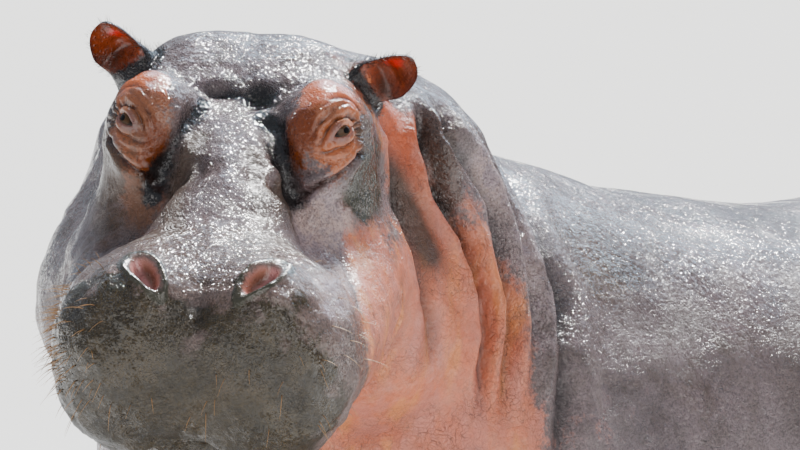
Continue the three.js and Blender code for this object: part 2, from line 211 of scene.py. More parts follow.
def leg_field(p, x, y):
    """A leg with its foot, from the shoulder or haunch to the sole."""
    if y < 0:
        d = ball(p, (x * 1.02, y + .02, .74), (.185, .27, .36))
        d = melted(d, bone(p, (x, y + .05, .52), (x * .99, y, .24), .165, .122), .10)
        d = melted(d, bone(p, (x * .99, y, .24), (x * .99, y - .01, .10), .118, .122), .05)
    else:
        d = ball(p, (x * .97, y - .04, .68), (.20, .30, .35))
        d = melted(d, bone(p, (x, y - .06, .50), (x, y + .05, .30), .172, .120), .10)
        d = melted(d, bone(p, (x, y + .05, .30), (x, y + .02, .10), .112, .118), .05)
    middle = instep(x, y)
    d = melted(d, ball(p, middle + (0, -.005, .060), (.142, .158, .085), 2.5), .05)
    for k in range(len(TOES)):
        d = melted(d, ball(p, middle + toe_way(k) * TOE_RING + (0, -.030, .045), (.044, .050, .048)), .03)
    return d


def instep(x, y):
    return np.array([x, y - .02 if y < 0 else y, 0])


def toe_way(k):
    """The level direction in which a toe points, the inner one first on the right."""
    angle = (k - 1.5) * TOE_FAN
    return np.array([math.sin(angle), -math.cos(angle), 0])


def tail_field(p):
    d = bone(p, (0, 1.10, .98), (0, 1.195, .86), .065, .040)
    return melted(d, bone(p, (0, 1.195, .86), (0, 1.20, .60), .038, .022), .03)


def body_field(p):
    """The whole body but the ears. Each limb is worked out only near itself."""
    d = melted(np.full(p.shape[:-1], 1.0), barrel(p, TRUNK, (.22, .24), 2.3), .02)

    def join(near, field, soft):
        if near.any():
            d[near] = melted(d[near], field(p[near]), soft)

    join(p[..., 1] < .15, neck_field, .14)
    face = at_head((0, .4, 0))
    join(np.linalg.norm(p - face, axis=-1) < .80, lambda q: head_field(to_head(q)), .06)
    for _, x, y in LEGS:
        near = (np.abs(p[..., 0] - x) < .4) & (np.abs(p[..., 1] - y) < .55) & (p[..., 2] < 1.3)
        join(near, lambda q: leg_field(q, x, y), .10)
    join(p[..., 1] > .8, tail_field, .05)
    return d


def gradient(field, p, h=1e-3):
    steps = np.eye(3) * h
    return np.stack([(field(p + s) - field(p - s)) / (2 * h) for s in steps], -1)


def settled(field, p, rounds, most=.02):
    """Points moved along the gradient by the field over its slope, until they lie on the skin."""
    for _ in range(rounds):
        g = gradient(field, p)
        step = -field(p)[:, None] * g / np.maximum((g * g).sum(1, keepdims=True), 1e-6)
        size = np.linalg.norm(step, axis=1, keepdims=True)
        p = p + step * np.minimum(1, most / np.maximum(size, 1e-9))
    return p


# ------------------------------------------------------------------ the net of the hide
COARSE = .026                                # mesh size on the trunk; each finer zone halves it
NET_LOW, NET_HIGH = np.array([-.75, -1.95, -.10]), np.array([1.0, 1.32, 1.80])


def net(field, low, high, step):
    """Surface net: one point in each lattice cell that the skin crosses, at the mean of the
    crossings on the cell's edges, and one four-sided face round each lattice edge it crosses."""
    n = np.ceil((high - low) / step).astype(int) + 1
    ticks = [low[k] + step * np.arange(n[k]) for k in range(3)]
    lattice = np.stack(np.meshgrid(*ticks, indexing="ij"), -1)
    value = np.concatenate([field(part) for part in np.array_split(lattice, 12, axis=1)], 1)
    inside = value < 0
    total, count = np.zeros(tuple(n - 1) + (3,)), np.zeros(tuple(n - 1))
    for axis in range(3):
        others = [k for k in range(3) if k != axis]
        first, second = np.moveaxis(value, axis, 0)[:-1], np.moveaxis(value, axis, 0)[1:]
        crossed = np.moveaxis((first < 0) != (second < 0), 0, axis)
        share = np.moveaxis(first / np.where(first == second, 1, first - second), 0, axis)
        for i in (0, 1):
            for j in (0, 1):
                cut = [slice(None)] * 3
                cut[others[0]] = slice(i, n[others[0]] - 1 + i)
                cut[others[1]] = slice(j, n[others[1]] - 1 + j)
                hit = crossed[tuple(cut)]
                count += hit
                total[..., axis] += np.where(hit, share[tuple(cut)], 0)
                total[..., others[0]] += hit * i
                total[..., others[1]] += hit * j
    cells = count > 0
    index = np.full(cells.shape, -1)
    index[cells] = np.arange(cells.sum())
    points = low + step * (np.argwhere(cells) + total[cells] / count[cells][:, None])
    faces = []
    for axis in range(3):
        one, two = (axis + 1) % 3, (axis + 2) % 3
        start, end = [slice(1, -1)] * 3, [slice(1, -1)] * 3
        start[axis], end[axis] = slice(0, -1), slice(1, None)
        leaving = inside[tuple(start)]
        crossed = leaving != inside[tuple(end)]
        offset = np.ones(3, int)
        offset[axis] = 0
        base = np.argwhere(crossed) + offset
        corners = []
        for a, b in ((0, 0), (1, 0), (1, 1), (0, 1)):
            corner = base.copy()
            corner[:, one] -= a
            corner[:, two] -= b
            corners.append(index[tuple(corner.T)])
        quads = np.stack(corners, 1)
        quads[~leaving[crossed]] = quads[~leaving[crossed]][:, ::-1]
        faces.append(quads)
    return points, np.concatenate(faces)


def relaxed(points, quads, rounds):
    """Each point moved most of the way to the mean of its neighbours."""
    pairs = np.concatenate([quads[:, [k, (k + 1) % 4]] for k in range(4)])
    degree = np.bincount(pairs[:, 0], minlength=len(points))
    for _ in range(rounds):
        near = [np.bincount(pairs[:, 0], points[pairs[:, 1], k], len(points)) for k in range(3)]
        points = points + .6 * (np.stack(near, 1) / degree[:, None] - points)
    return points


def halved(points, quads, fans, zone):
    """Quads in the zone are split in four. A quad beside them becomes a fan of triangles round
    its middle, so that no edge is left open. A quad that touches an older fan isn't split."""
    split = zone(points[quads].mean(1)) & ~np.isin(quads, fans).any(1)
    edges = np.sort(np.stack([quads, np.roll(quads, -1, 1)], -1), -1)
    code = edges[..., 0] * len(points) + edges[..., 1]
    cut, first = np.unique(code[split], return_index=True)
    ends = edges[split].reshape(-1, 2)[first]
    place = np.searchsorted(cut, code).clip(0, len(cut) - 1)
    is_cut = cut[place] == code
    middle = len(points) + place
    touched = is_cut.any(1) & ~split
    parents = np.concatenate([quads[split], quads[touched]])
    centre = len(points) + len(cut) + np.arange(len(parents))
    points = np.concatenate([points, points[ends].mean(1), points[parents].mean(1)])
    old, mid, mine = quads[split], middle[split], centre[:split.sum()]
    small = [np.stack([old[:, k], mid[:, k], mine, mid[:, k - 1]], 1) for k in range(4)]
    old, mid, has = quads[touched], middle[touched], is_cut[touched]
    mine = centre[split.sum():]
    for k in range(4):
        a, b, h = old[:, k], old[:, (k + 1) % 4], has[:, k]
        whole = np.stack([mine, a, b], 1)[~h]
        near = np.stack([mine, a, mid[:, k]], 1)[h]
        far = np.stack([mine, mid[:, k], b], 1)[h]
        fans = np.concatenate([fans, whole, near, far])
    return points, np.concatenate([quads[~split & ~touched], *small]), fans


def fine_zones():
    """Where the net is halved, from the widest zone to the smallest."""
    def near(q, centre, radius):
        return np.linalg.norm(mirrored(q) - centre, axis=-1) < radius

    def front(p):
        return (p[:, 1] < -.50) & (p[:, 2] > .62) | (p[:, 2] < .20) | (p[:, 1] > 1.12)

    def face(p):
        q = to_head(p)
        crown = (q[:, 1] > -.03) & (q[:, 2] > -.07)
        folds = (p[:, 0] > .20) & (p[:, 1] < -.70) & (p[:, 1] > -1.10) & (p[:, 2] > 1.06) & (q[:, 1] > -.20)
        return crown | folds | (off_path(mirrored(q), np.array(MOUTH))[0] < .035)

    def features(p):
        q = to_head(p)
        return near(q, EYE, .074) | near(q, NOSTRIL, .058) | near(q, EARS[0][1], .066)

    def finest(p):
        q = to_head(p)
        return near(q, EYE, .038) | near(q, EARS[0][1], .046)

    return [front, face, features, finest]


def bare_hide():
    """The settled net with its fine zones: points, quads and fans of triangles."""
    points, quads = net(body_field, NET_LOW, NET_HIGH, COARSE)
    points = settled(body_field, points, 2)
    points = settled(body_field, relaxed(points, quads, 3), 2)
    fans = np.zeros((0, 3), int)
    for zone in fine_zones():
        known = len(points)
        points, quads, fans = halved(points, quads, fans, zone)
        points[known:] = settled(body_field, points[known:], 2)
    return points, quads, fans


# ------------------------------------------------------------------ noise and strokes
def hashed(i, seed):
    """Whole lattice places to even values from -1 to 1, by multiplying and mixing their bits."""
    h = (i[..., 0] * 73856093) ^ (i[..., 1] * 19349663) ^ (i[..., 2] * 83492791) ^ (seed * 2654435761)
    h = (h ^ (h >> 13)) * 1274126177 & 0xffffffff
    return ((h ^ (h >> 16)) & 0xffff) / 32767.5 - 1


def noise(p, size, seed=0):
    """Smooth noise from -1 to 1: values at the corners of a lattice, mixed by smoothstep."""
    q = np.asarray(p) / size
    base = np.floor(q).astype(np.int64)
    t = q - base
    t = t * t * (3 - 2 * t)
    value = 0
    for i in (0, 1):
        for j in (0, 1):
            for k in (0, 1):
                share = ((t[..., 0] if i else 1 - t[..., 0]) * (t[..., 1] if j else 1 - t[..., 1])
                         * (t[..., 2] if k else 1 - t[..., 2]))
                value = value + share * hashed(base + (i, j, k), seed)
    return value


def bent(p, size, scale, seed):
    """Points pushed about, each way by a noise of its own."""
    return p + size * np.stack([noise(p, scale, seed + k) for k in range(3)], -1)


def step(a, b, x):
    """0 before a, 1 after b, smooth between; b may be the smaller."""
    t = np.clip((x - a) / (b - a), 0, 1)
    return t * t * (3 - 2 * t)


def patch(p, centre, radii):
    """1 in the middle of an ellipsoid, falling to 0 well outside it as a bell."""
    return np.exp(-(((p - centre) / radii) ** 2).sum(-1))


def off_path(p, path):
    """The distance from a path of points, and how far along it, from 0 to 1, the nearest place is."""
    best, place = np.full(len(p), 9.0), np.zeros(len(p))
    for k in range(len(path) - 1):
        t, far = along_line(p, path[k], path[k + 1])
        closer = far < best
        best = np.where(closer, far, best)
        place = np.where(closer, (k + t) / (len(path) - 1), place)
    return best, place


def crease(p, path, width, depth, lip=.35):
    """A sharp furrow with a soft swelling on both sides: minus depth times e to the minus
    distance over width, plus a bell at two and a half widths. It fades out at both ends."""
    far, place = off_path(p, path)
    fade = step(0, .12, place) * step(1, .88, place)
    furrow = -np.exp(-far / width)
    swell = lip * np.exp(-((far - 2.6 * width) / (1.5 * width)) ** 2)
    return depth * fade * (furrow + swell)


def ridge(p, path, width, height):
    """A rounded roll along a path: height times a bell of the distance, fading at the ends."""
    far, place = off_path(p, path)
    return height * step(0, .15, place) * step(1, .85, place) * np.exp(-(far / width) ** 2)


def on_skin(path):
    """A path of places near the skin, brought onto it."""
    return settled(body_field, np.array(path, float), 3)


def on_head(path):
    return to_head(on_skin(at_head(path)))


# ------------------------------------------------------------------ relief
# Folds of the bunched left side of the neck, from the ear and the crest down to the chest.
WEDGE_FOLD = [(.412, -1.077, 1.489), (.403, -1.054, 1.456), (.414, -1.047, 1.352),
              (.444, -1.039, 1.286), (.467, -1.030, 1.217), (.47, -1.00, 1.10)]
DEEP_FOLD = [(.345, -.960, 1.505), (.386, -.970, 1.444), (.406, -.960, 1.373), (.415, -.939, 1.324),
             (.424, -.915, 1.284), (.434, -.901, 1.221), (.440, -.897, 1.155), (.44, -.92, 1.02)]
ROLL_FOLDS = [
    [(.34, -.915, 1.50), (.384, -.925, 1.450), (.395, -.885, 1.406), (.402, -.850, 1.341),
     (.419, -.845, 1.274), (.439, -.850, 1.169), (.45, -.88, 1.02)],
    [(.31, -.84, 1.48), (.358, -.820, 1.430), (.372, -.795, 1.387), (.390, -.785, 1.322),
     (.412, -.790, 1.258), (.440, -.800, 1.166), (.45, -.83, 1.02)],
]
SHOULDER_FOLD = [(.16, -.64, 1.37), (.304, -.702, 1.326), (.368, -.718, 1.265), (.406, -.722, 1.202),
                 (.429, -.734, 1.160), (.455, -.76, 1.05), (.45, -.80, .90)]
# On the head, as left, forward, up; the same on both sides.
SOCKET_HOLLOW = [(.031, .252, .149), (.054, .300, .152), (.067, .338, .138), (.075, .359, .118),
                 (.086, .371, .096), (.099, .382, .074)]
# Furrows of the lids and of the bag below them: path, width and depth.
EYE_FOLDS = [
    ([(.122, .351, .153), (.131, .337, .174), (.146, .317, .186), (.162, .297, .184),
      (.174, .292, .168)], .0030, .0044),
    ([(.112, .347, .160), (.124, .328, .184), (.140, .306, .195), (.160, .283, .191)], .0030, .0040),
    ([(.124, .312, .196), (.140, .288, .201), (.160, .270, .191), (.179, .271, .166)], .0032, .0036),
    ([(.120, .353, .147), (.142, .350, .145), (.158, .339, .146), (.171, .322, .153),
      (.174, .306, .166)], .0028, .0044),
    ([(.106, .357, .135), (.140, .355, .134), (.162, .341, .137), (.178, .315, .145)], .0030, .0040),
    ([(.100, .363, .112), (.132, .361, .124), (.160, .344, .131), (.181, .315, .137)], .0034, .0044),
    ([(.095, .378, .080), (.124, .368, .101), (.154, .354, .116), (.176, .327, .127),
      (.190, .302, .126)], .0046, .0140),
    ([(.112, .378, .078), (.146, .362, .098), (.172, .335, .112)], .0036, .0036),
]
BAG_ROLL = [(.098, .370, .092), (.128, .365, .112), (.157, .349, .124), (.178, .321, .131)]
MOUTH = [(0, .770, -.118), (.06, .775, -.128), (.12, .740, -.140), (.17, .66, -.135), (.19, .56, -.125),
         (.20, .46, -.125), (.21, .38, -.105), (.21, .33, -.070)]
WHORL = np.array([-.055, .545, .130])        # a small curl of fine rings on the muzzle
CHEEK_EDGE = [(.150, .425, .045), (.171, .443, .022), (.190, .510, .012), (.205, .570, .010)]


def frames(m):
    """Places round an eye: along the slit, across it, and the distance and way from its centre."""
    long, out, up = square_to(EYE_OUT, EYE_LONG)
    off = m - EYE
    r = np.linalg.norm(off, axis=-1) + 1e-9
    up = up if up[2] > 0 else -up
    return off @ long, off @ up, r, off / r[:, None], off @ out


SLIT_LONG, SLIT_UP, SLIT_DOWN = .0188, .0066, .0046   # half sizes of the opening between the lids
LID = .0034                                           # thickness of a lid
SUNK = .0070                                          # how far the hide passes behind the eyeball's front


def slit(a, b):
    """Distance outside the opening between the lids: the overlap of two round discs whose edges
    cross at the two corners; below 0 in it."""
    sides = []
    for tall, way in ((SLIT_UP, 1), (SLIT_DOWN, -1)):
        radius = (SLIT_LONG ** 2 + tall ** 2) / (2 * tall)
        sides.append(np.hypot(a, way * b + radius - tall) - radius)
    return np.maximum(*sides)


def lids(m, folds):
    """Points of the hide near an eye laid round the eyeball: proud of it by the lid's thickness and
    its folds outside the slit, and sunk behind its front inside. The upper lid is a thick flap at
    the slit's edge; the lower one has a thin edge and a roll below it."""
    a, b, r, way, out = frames(m)
    outside = slit(a, b)
    outer = .25 + .75 * step(-.012, .006, a)
    upper = step(-.004, .004, b)
    flap = .0030 * upper * np.exp(-((outside - .0050) / .0046) ** 2)
    roll = .0010 * (1 - upper) * np.exp(-((outside - .0078) / .0040) ** 2)
    lid = EYE_RADIUS + LID + folds + outer * (flap + roll)
    inner = EYE_RADIUS - SUNK
    wanted = inner + (lid - inner) * step(-.0008, .0010, outside)
    hold = step(.038, .024, np.hypot(a, b)) * ((out > -.004) & (r < .06))
    radius = r + (wanted - r) * hold
    return EYE + way * radius[:, None]


def eye_folds(m, fade):
    """Height of the furrows round an eye, of the roll at the foot of its bag, and of fine spokes
    behind its outer corner."""
    free = bent(m, .0015, .012, 3)
    h = sum(crease(free, on_head(path), width, depth, .45) for path, width, depth in EYE_FOLDS)
    h = (h + ridge(free, on_head(BAG_ROLL), .009, .004)) * fade
    a, b = frames(m)[:2]
    corner = step(.016, .028, a) * step(.066, .044, a) * step(.022, .006, b) * step(-.060, -.040, b)
    turn = np.arctan2(b + .010, a)
    spokes = np.abs(np.sin(turn * 12 + .9 * noise(m, .010, 6)))
    return h - .0034 * corner * (1 - spokes) ** 2


def nostril_shape(m):
    """The relief of the nostrils' pits and rims; the place outside their opening, a slanting oval
    that widens along its length, with 1 at its edge; and the share of its roof."""
    normal = np.array([-.05, .35, .93])
    long, up, side = square_to(normal, NOSTRIL_LONG)
    off = m - NOSTRIL
    a, b, c = off @ long, off @ side, off @ up
    wide = .0165 + .10 * a
    out = np.sqrt((a / .037) ** 2 + (b / wide) ** 2)
    near = np.abs(c) < .05
    pit = -.019 * step(1.08, .60, out)
    rim = .0055 * np.exp(-((out - 1.36) / .30) ** 2)
    return (pit + rim) * near, out, step(.05, .55, b / wide)


def ear_frame(m, root, out, opening):
    """Places across, facing and along an ear from its root."""
    face, out, across = square_to(out, opening)
    off = m - root
    return off @ across, off @ face, off @ out, (across, face, out)


def ear(m, left, skin):
    """Points in the patch of hide round an ear's root, drawn out into the ear. With t growing from
    0 at the patch's rim to 1 at its middle and an angle round it, the ear is a rod that flattens
    into a leaf: across = width cos(angle), facing = thickness sin(angle) + cupping cos(angle)^2."""
    grown = skin.copy()
    t_all, sin_all, cos_all = np.zeros((3, len(m)))
    for side, ear_root, out, opening in EARS:
        x, y, z, (across, face, out) = ear_frame(m, ear_root, out, opening)
        rho = np.hypot(x, y)
        t = np.clip(1 - rho / EAR_DISC, 0, 1)
        inside = (rho < EAR_DISC) & (z > -.05) & (left == (side > 0))
        cos, sin = x / (rho + 1e-9), y / (rho + 1e-9)
        leaf = step(.10, .50, t)
        close = np.clip(1 - t ** 2.3, 0, 1) ** .60
        along = -.014 + (EAR_LENGTH + .014) * (1 - (1 - t) ** 1.35)
        width = (.036 + (EAR_WIDE - .036) * leaf) * close
        thick = (.031 + (.0070 - .031) * leaf) * np.sqrt(close)
        cup = .026 * leaf * close
        hollow = np.minimum(.022 * np.exp(-((t - .38) / .16) ** 2), 1.6 * thick) * np.clip(sin, 0, 1) ** 2
        spot = (ear_root + across * (width * cos)[:, None] + out * along[:, None]
                + face * (thick * sin + cup * (cos ** 2 - .45) - hollow)[:, None])
        mix = step(.02, .20, t) * inside
        grown += (spot - skin) * mix[:, None]
        t_all += t * inside
        sin_all += np.where(inside, sin, 0)
        cos_all += np.where(inside, cos, 0)
    return grown, t_all, sin_all, cos_all


def neck_folds(p):
    q = bent(p, .008, .07, 11)
    h = crease(q, on_skin(WEDGE_FOLD), .014, .020)
    h += crease(q, on_skin(DEEP_FOLD), .009, .032, .5)
    for k, fold in enumerate(ROLL_FOLDS):
        h += crease(q, on_skin(fold), .012 - .002 * k, .022 - .006 * k, .5)
    return h + crease(q, on_skin(SHOULDER_FOLD), .016, .022, .4)


def throat_folds(p):
    """Furrows square to the neck, on its underside and its right, where no fold is named: the
    depth is a sharpened cosine of the place along the neck, bent by noise."""
    along = (p - np.array([0, -.62, .92])) @ unit(at_head((0, 0, -.14)) - (0, -.62, .92))
    place = along + .045 * noise(p, .30, 21) + .012 * noise(p, .08, 22)
    away = step(.30, .10, p[:, 0]) * step(.0, .10, along) * step(.62, .50, along)
    wave = .5 + .5 * np.cos(2 * math.pi * place / .085)
    return -.011 * away * wave ** 6 * np.clip(.35 + .85 * noise(p, .19, 23), 0, 1)


# Knobs and dents along the nose: height, middle and radii, on the head.
NOSE_KNOBS = [(-.008, (.036, .405, .140), (.012, .036, .04)), (.008, (.064, .378, .125), (.013, .015, .04)),
              (-.006, (.068, .415, .120), (.012, .012, .04)), (.009, (.074, .455, .118), (.015, .022, .04)),
              (.010, (-.068, .350, .128), (.017, .017, .04)), (-.008, (-.044, .390, .140), (.014, .050, .04)),
              (-.006, (-.075, .395, .110), (.016, .020, .04)), (.006, (-.004, .390, .150), (.014, .060, .04))]


def hollow_shift(q):
    """How much further out the hollow beside the nose lies on the right side."""
    return np.where(q[:, :1] < 0, (.020, 0, 0), (0, 0, 0))


def head_relief(p):
    q = to_head(p)
    m = mirrored(q)
    free = m + .004 * np.stack([noise(q, .035, s) for s in (31, 32, 33)], -1)
    h = ridge(free - hollow_shift(q), on_head(SOCKET_HOLLOW), .017, -.015)
    h += .016 * patch(m, (.168, .085, .150), (.030, .050, .035))                  # mound over the ear
    h += crease(free, on_head(MOUTH), .0075, .022, .45)
    h += crease(free, on_head(CHEEK_EDGE), .008, .006)
    h -= .016 * patch(q, (.022, .210, .155), (.028, .026, .05))                   # dips in the brow
    h -= .010 * patch(q, (-.030, .205, .155), (.034, .014, .05))
    h -= .005 * patch(free, (.060, .200, .155), (.060, .024, .05))
    h -= .010 * patch(q, (0, .745, .125), (.016, .06, .06))                       # groove of the nose
    h += .010 * patch(m, (.085, .085, .160), (.060, .06, .06))                    # bumps of the crown
    for size, middle, radii in NOSE_KNOBS:
        h += size * patch(q, middle, radii)
    h += .0032 * noise(q, .045, 34) + .0020 * noise(q, .020, 35)
    soft = step(.60, .72, q[:, 1])
    h += .0018 * soft * noise(q, .011, 36)
    return h * step(-.10, .05, q[:, 1])


def leg_relief(p):
    """Rings of creases at wrist and ankle, folds where a leg meets the trunk, gaps between toes."""
    h = np.zeros(len(p))
    for _, x, y in LEGS:
        off = p - (x, y, 0)
        near = step(.30, .20, np.hypot(off[:, 0], off[:, 1]))
        ring = p[:, 2] + .012 * noise(p, .09, 41)
        for level, depth in ((.155, .007), (.185, .006), (.215, .004), (.36, .006), (.395, .004)):
            h -= depth * near * np.exp(-np.abs(ring - level) / .008)
        middle = instep(x, y) + (0, -.03, 0)
        for k in range(len(TOES) - 1):
            way = unit(toe_way(k) + toe_way(k + 1))
            far = along_line(p * (1, 1, 0), middle + way * .085, middle + way * .20)[1]
            h -= .014 * np.exp(-far / .010) * step(.13, .06, p[:, 2])
    return h


def trunk_relief(p):
    """Slack hide: long shallow folds before the haunch, behind the elbow and across the rump."""
    side = np.abs(p[:, 0])
    h = np.zeros(len(p))
    for y, lean, low, high, depth in ((.42, .18, .45, .95, .012), (.36, .10, .42, .80, .008),
                                      (-.38, -.10, .45, .90, .012), (-.33, -.05, .45, .80, .008)):
        place = p[:, 1] - y - lean * (p[:, 2] - .6) + .02 * noise(p, .2, 51)
        span = step(low - .1, low + .1, p[:, 2]) * step(high + .15, high - .1, p[:, 2])
        h -= depth * span * np.exp(-np.abs(place) / .014) * step(.15, .35, side)
    h += .005 * noise(p, .16, 52) * step(-.75, -.45, p[:, 1])
    return h + .0022 * noise(p, .050, 53)


def tail_rings(p):
    """Fine rings round the upper tail."""
    ring = np.exp(-np.abs(np.cos(p[:, 2] * math.pi / .035)) / .2)
    return -.0025 * ring * step(1.12, 1.16, p[:, 1]) * step(.62, .70, p[:, 2])


def dressed_hide():
    """The hide with all its relief, and the masks that its material is painted by."""
    bare, quads, fans = bare_hide()
    normal = unit(gradient(body_field, bare))
    q = to_head(bare)
    m = mirrored(q)
    pits, nostril_out, roof = nostril_shape(m)
    height = (neck_folds(bare) + throat_folds(bare) + head_relief(bare) + leg_relief(bare)
              + trunk_relief(bare) + tail_rings(bare) + pits)
    folds = eye_folds(m, np.where(q[:, 0] < 0, .75, 1))
    height = height * step(.035, .060, np.linalg.norm(m - EYE, axis=-1)) + folds
    skin = bare + normal * height[:, None]
    side = np.where(q[:, :1] < 0, -1.0, 1.0)
    folded = mirrored(to_head(skin))
    eyed = lids(folded, folds)
    eared, ear_t, ear_front, ear_low = ear(m, q[:, 0] > 0, eyed)
    moved = np.concatenate([eared[:, :1] * side, eared[:, 1:]], -1)
    headward = np.linalg.norm(q - (0, .3, 0), axis=-1) < .55
    changed = headward & (np.linalg.norm(eared - folded, axis=1) > 1e-9)
    skin = np.where(changed[:, None], at_head(moved), skin)
    skin[:, 2] = np.maximum(skin[:, 2], 0)
    return skin, bare, quads, fans, {
        "height": height, "lines": folds, "ear_t": ear_t, "ear_front": ear_front,
        "ear_low": ear_low, "nostril": nostril_out, "roof": roof}


# ------------------------------------------------------------------ markings
SALMON_BAND = [(.40, -1.07, 1.50), (.425, -1.01, 1.42), (.43, -.98, 1.32), (.445, -.96, 1.20),
               (.45, -.95, 1.05)]
CHEEK_BAND = [(.53, -1.21, 1.36), (.56, -1.22, 1.28), (.60, -1.24, 1.20), (.60, -1.20, 1.08)]
DARK_PATCH = [(.405, -1.050, 1.40), (.415, -1.035, 1.36), (.425, -1.012, 1.31), (.432, -1.000, 1.27)]
NOSE_SIDES = [[(-.052, .330, .140), (-.066, .400, .116), (-.066, .560, .126)],
              [(.040, .370, .142), (.050, .440, .134), (.058, .500, .128)]]
# The soft patches of each marking: the place they are laid out in, their strength, middle and
# radii. Head and body are bent by noise, sides is the head with both sides laid on its left, and
# still is the head as it is.
PATCHES = {
    "socket": [("sides", 1.6, (.138, .300, .160), (.052, .062, .052)),
               ("head", 1.3, (-.138, .362, .095), (.046, .055, .055))],
    "dome": [("sides", 1.5, (.132, .268, .205), (.050, .030, .030))],
    "ochre": [("head", 1.5, (.100, .330, .158), (.026, .034, .050)),
              ("head", 1.3, (-.116, .345, .130), (.016, .034, .050))],
    # dull: painted shade, a darker and duller copy of the socket's colour on the right side of the face
    "dull_shade": [("still", .95, (-.130, .310, .150), (.050, .070, .070)),
             ("still", 1.2, (-.130, .385, .075), (.040, .060, .055))],
    # umber: painted shade on the right side of the face, round the lower socket and the cheek
    "umber_shade": [("still", 1.5, (-.175, .300, .070), (.045, .080, .075)),
              ("sides", 1.4, (.186, .290, .140), (.020, .034, .030)),
              ("still", .45, (-.128, .372, .082), (.040, .045, .045)),
              ("still", .75, (-.170, .370, .020), (.050, .090, .100))],
    "cheek": [("still", 1.6, (-.170, .370, .020), (.050, .090, .100))],
    "temple": [("head", .9, (.185, .300, .072), (.055, .095, .060))],
    "ear": [("sides", 1.4, (.165, .105, .115), (.050, .060, .050))],
    # dip: painted shade in the dips of the brow
    "brow_dip_shade": [("head", 1.5, (.022, .212, .150), (.030, .026, .050)),
            ("head", .8, (-.030, .207, .150), (.036, .013, .050))],
    "lobe": [("head", .35, (-.165, .640, .090), (.035, .060, .050))],
    "lip_middle": [("still", .35, (0, .775, .085), (.034, .060, .040))],
    "flank": [("sides", 1.3, (.075, .430, .085), (.022, .090, .050)),
              ("sides", 1.0, (.100, .560, .120), (.060, .040, .035)),
              ("body", .9, (.330, -.600, 1.240), (.120, .100, .100))],
    "moss": [("head", 2.0, (.192, .285, .072), (.042, .075, .048)),
             ("body", .5, (.405, -.930, 1.360), (.050, .028, .060))],
    "roll": [("body", 1.4, (.388, -.936, 1.405), (.060, .025, .105))],
    "orange": [("body", 1.5, (.385, -1.025, 1.460), (.050, .040, .075))],
    "shade": [("body", .8, (.385, -.960, 1.410), (.050, .016, .060))],
    "wet_neck": [("body", 1.2, (.360, -.660, 1.250), (.120, .070, .160))],
    # pale: light pinkish grey on the cheeks, the sides of the muzzle and the neck's rolls, lightened further
    # as painted light
    "pale_and_painted_light": [("head", 1.7, (.145, .420, .045), (.050, .065, .050)),
             ("head", .6, (.180, .520, .060), (.030, .080, .060)),
             ("head", 1.0, (.175, .655, .100), (.040, .060, .045)),
             ("head", .7, (.140, .390, .070), (.030, .040, .035)),
             ("body", 1.0, (.386, -.850, 1.385), (.050, .034, .070)),
             ("body", .6, (.400, -.795, 1.240), (.060, .040, .140))],
}


def layouts(p):
    """The places that the patches are laid out in, for points of the hide."""
    q = to_head(p)
    head = bent(q, .010, .05, 61)
    return {"still": q, "head": head, "sides": mirrored(head), "body": bent(p, .018, .09, 64)}


def patches_of(title, places):
    return [strength * patch(places[where], middle, radii)
            for where, strength, middle, radii in PATCHES[title]]


def mark(title, places, top=1.0):
    """The strongest of a marking's patches, up to a top."""
    return np.minimum(np.maximum.reduce(patches_of(title, places)), top)


def bell(p, path, width, power=2):
    """1 on a path, falling with the distance from it as e to the minus its power."""
    return np.exp(-(off_path(p, path)[0] / width) ** power)


def socket_marks(places):
    """The painted socket and its dome, on the right only as far in as the hollow beside the nose."""
    right, across = places["still"][:, 0] < 0, places["sides"][:, 0]
    return {"socket": mark("socket", places) * np.where(right, step(.084, .106, across), 1),
            "dome": mark("dome", places) * np.where(right, step(.090, .112, across), 1)}


def lid_marks(places, forms):
    """The lids' edges, peach with a painted highlight; the moist corners; painted shade in the furrows and on
    the hide hidden behind the slit.
    """
    a, b, r = frames(mirrored(places["still"]))[:3]
    outside = slit(a, b)
    near = step(.10, .04, r)
    upper = .9 * np.exp(-((outside - .0040) / .0034) ** 2)
    lower = .6 * np.exp(-((outside - .0085) / .0025) ** 2)
    inner_corner = np.exp(-((outside - .0030) / .0060) ** 2) * step(.002, -.008, a)
    waterline = np.exp(-((outside - .0020) / .0030) ** 2) * (b < 0)
    return {"lid": near * step(-.008, .008, a) * np.where(b > 0, upper, lower),
            "corner": near * np.maximum(inner_corner, waterline),
            # lines is painted shade in the furrows round the eye.
            "lines": np.clip(-forms["lines"] / .0030, 0, 1),
            # inner is painted shade on the hide hidden behind the slit.
            "inner": step(.0, -.003, outside) * near}


def ear_marks(places, forms):
    """The red inside of the ears, its rosy middle and its cave, darkened as painted shade with dark streaks,
    the leaf's rim and the dark root.
    """
    t, front, low = forms["ear_t"], forms["ear_front"], forms["ear_low"]
    red = step(.10, .35, front) * step(.14, .34, t)
    streaks = step(.1, .9, noise(mirrored(places["still"]), .0045, 66))
    cave = np.exp(-((t - .28) / .14) ** 2 - ((low - .50) / .60) ** 2) + .20 * streaks
    return {"red": red, "rosy": red * np.exp(-((t - .62) / .17) ** 2 - ((low + .30) / .50) ** 2),
            "cave": np.clip(red * cave, 0, 1), "ear": mark("ear", places) * (1 - red),
            "rim": np.exp(-(front / .30) ** 2) * step(.22, .40, t)}


def nostril_marks(places, forms):
    """The lining, its roof, and the smooth lip round it, by the place outside the nostril's rim."""
    around = forms["nostril"]
    near = step(.075, .050, np.linalg.norm(mirrored(places["still"]) - NOSTRIL, axis=1))
    lining = step(1.02, .82, around) * near
    return {"nostril": lining, "roof": forms["roof"] * lining, "lip": step(1.80, 1.40, around) * near,
            "smooth": step(1.9, 1.5, around) * near,
            "mossy_rim": np.exp(-((around - 1.42) / .36) ** 2) * near}


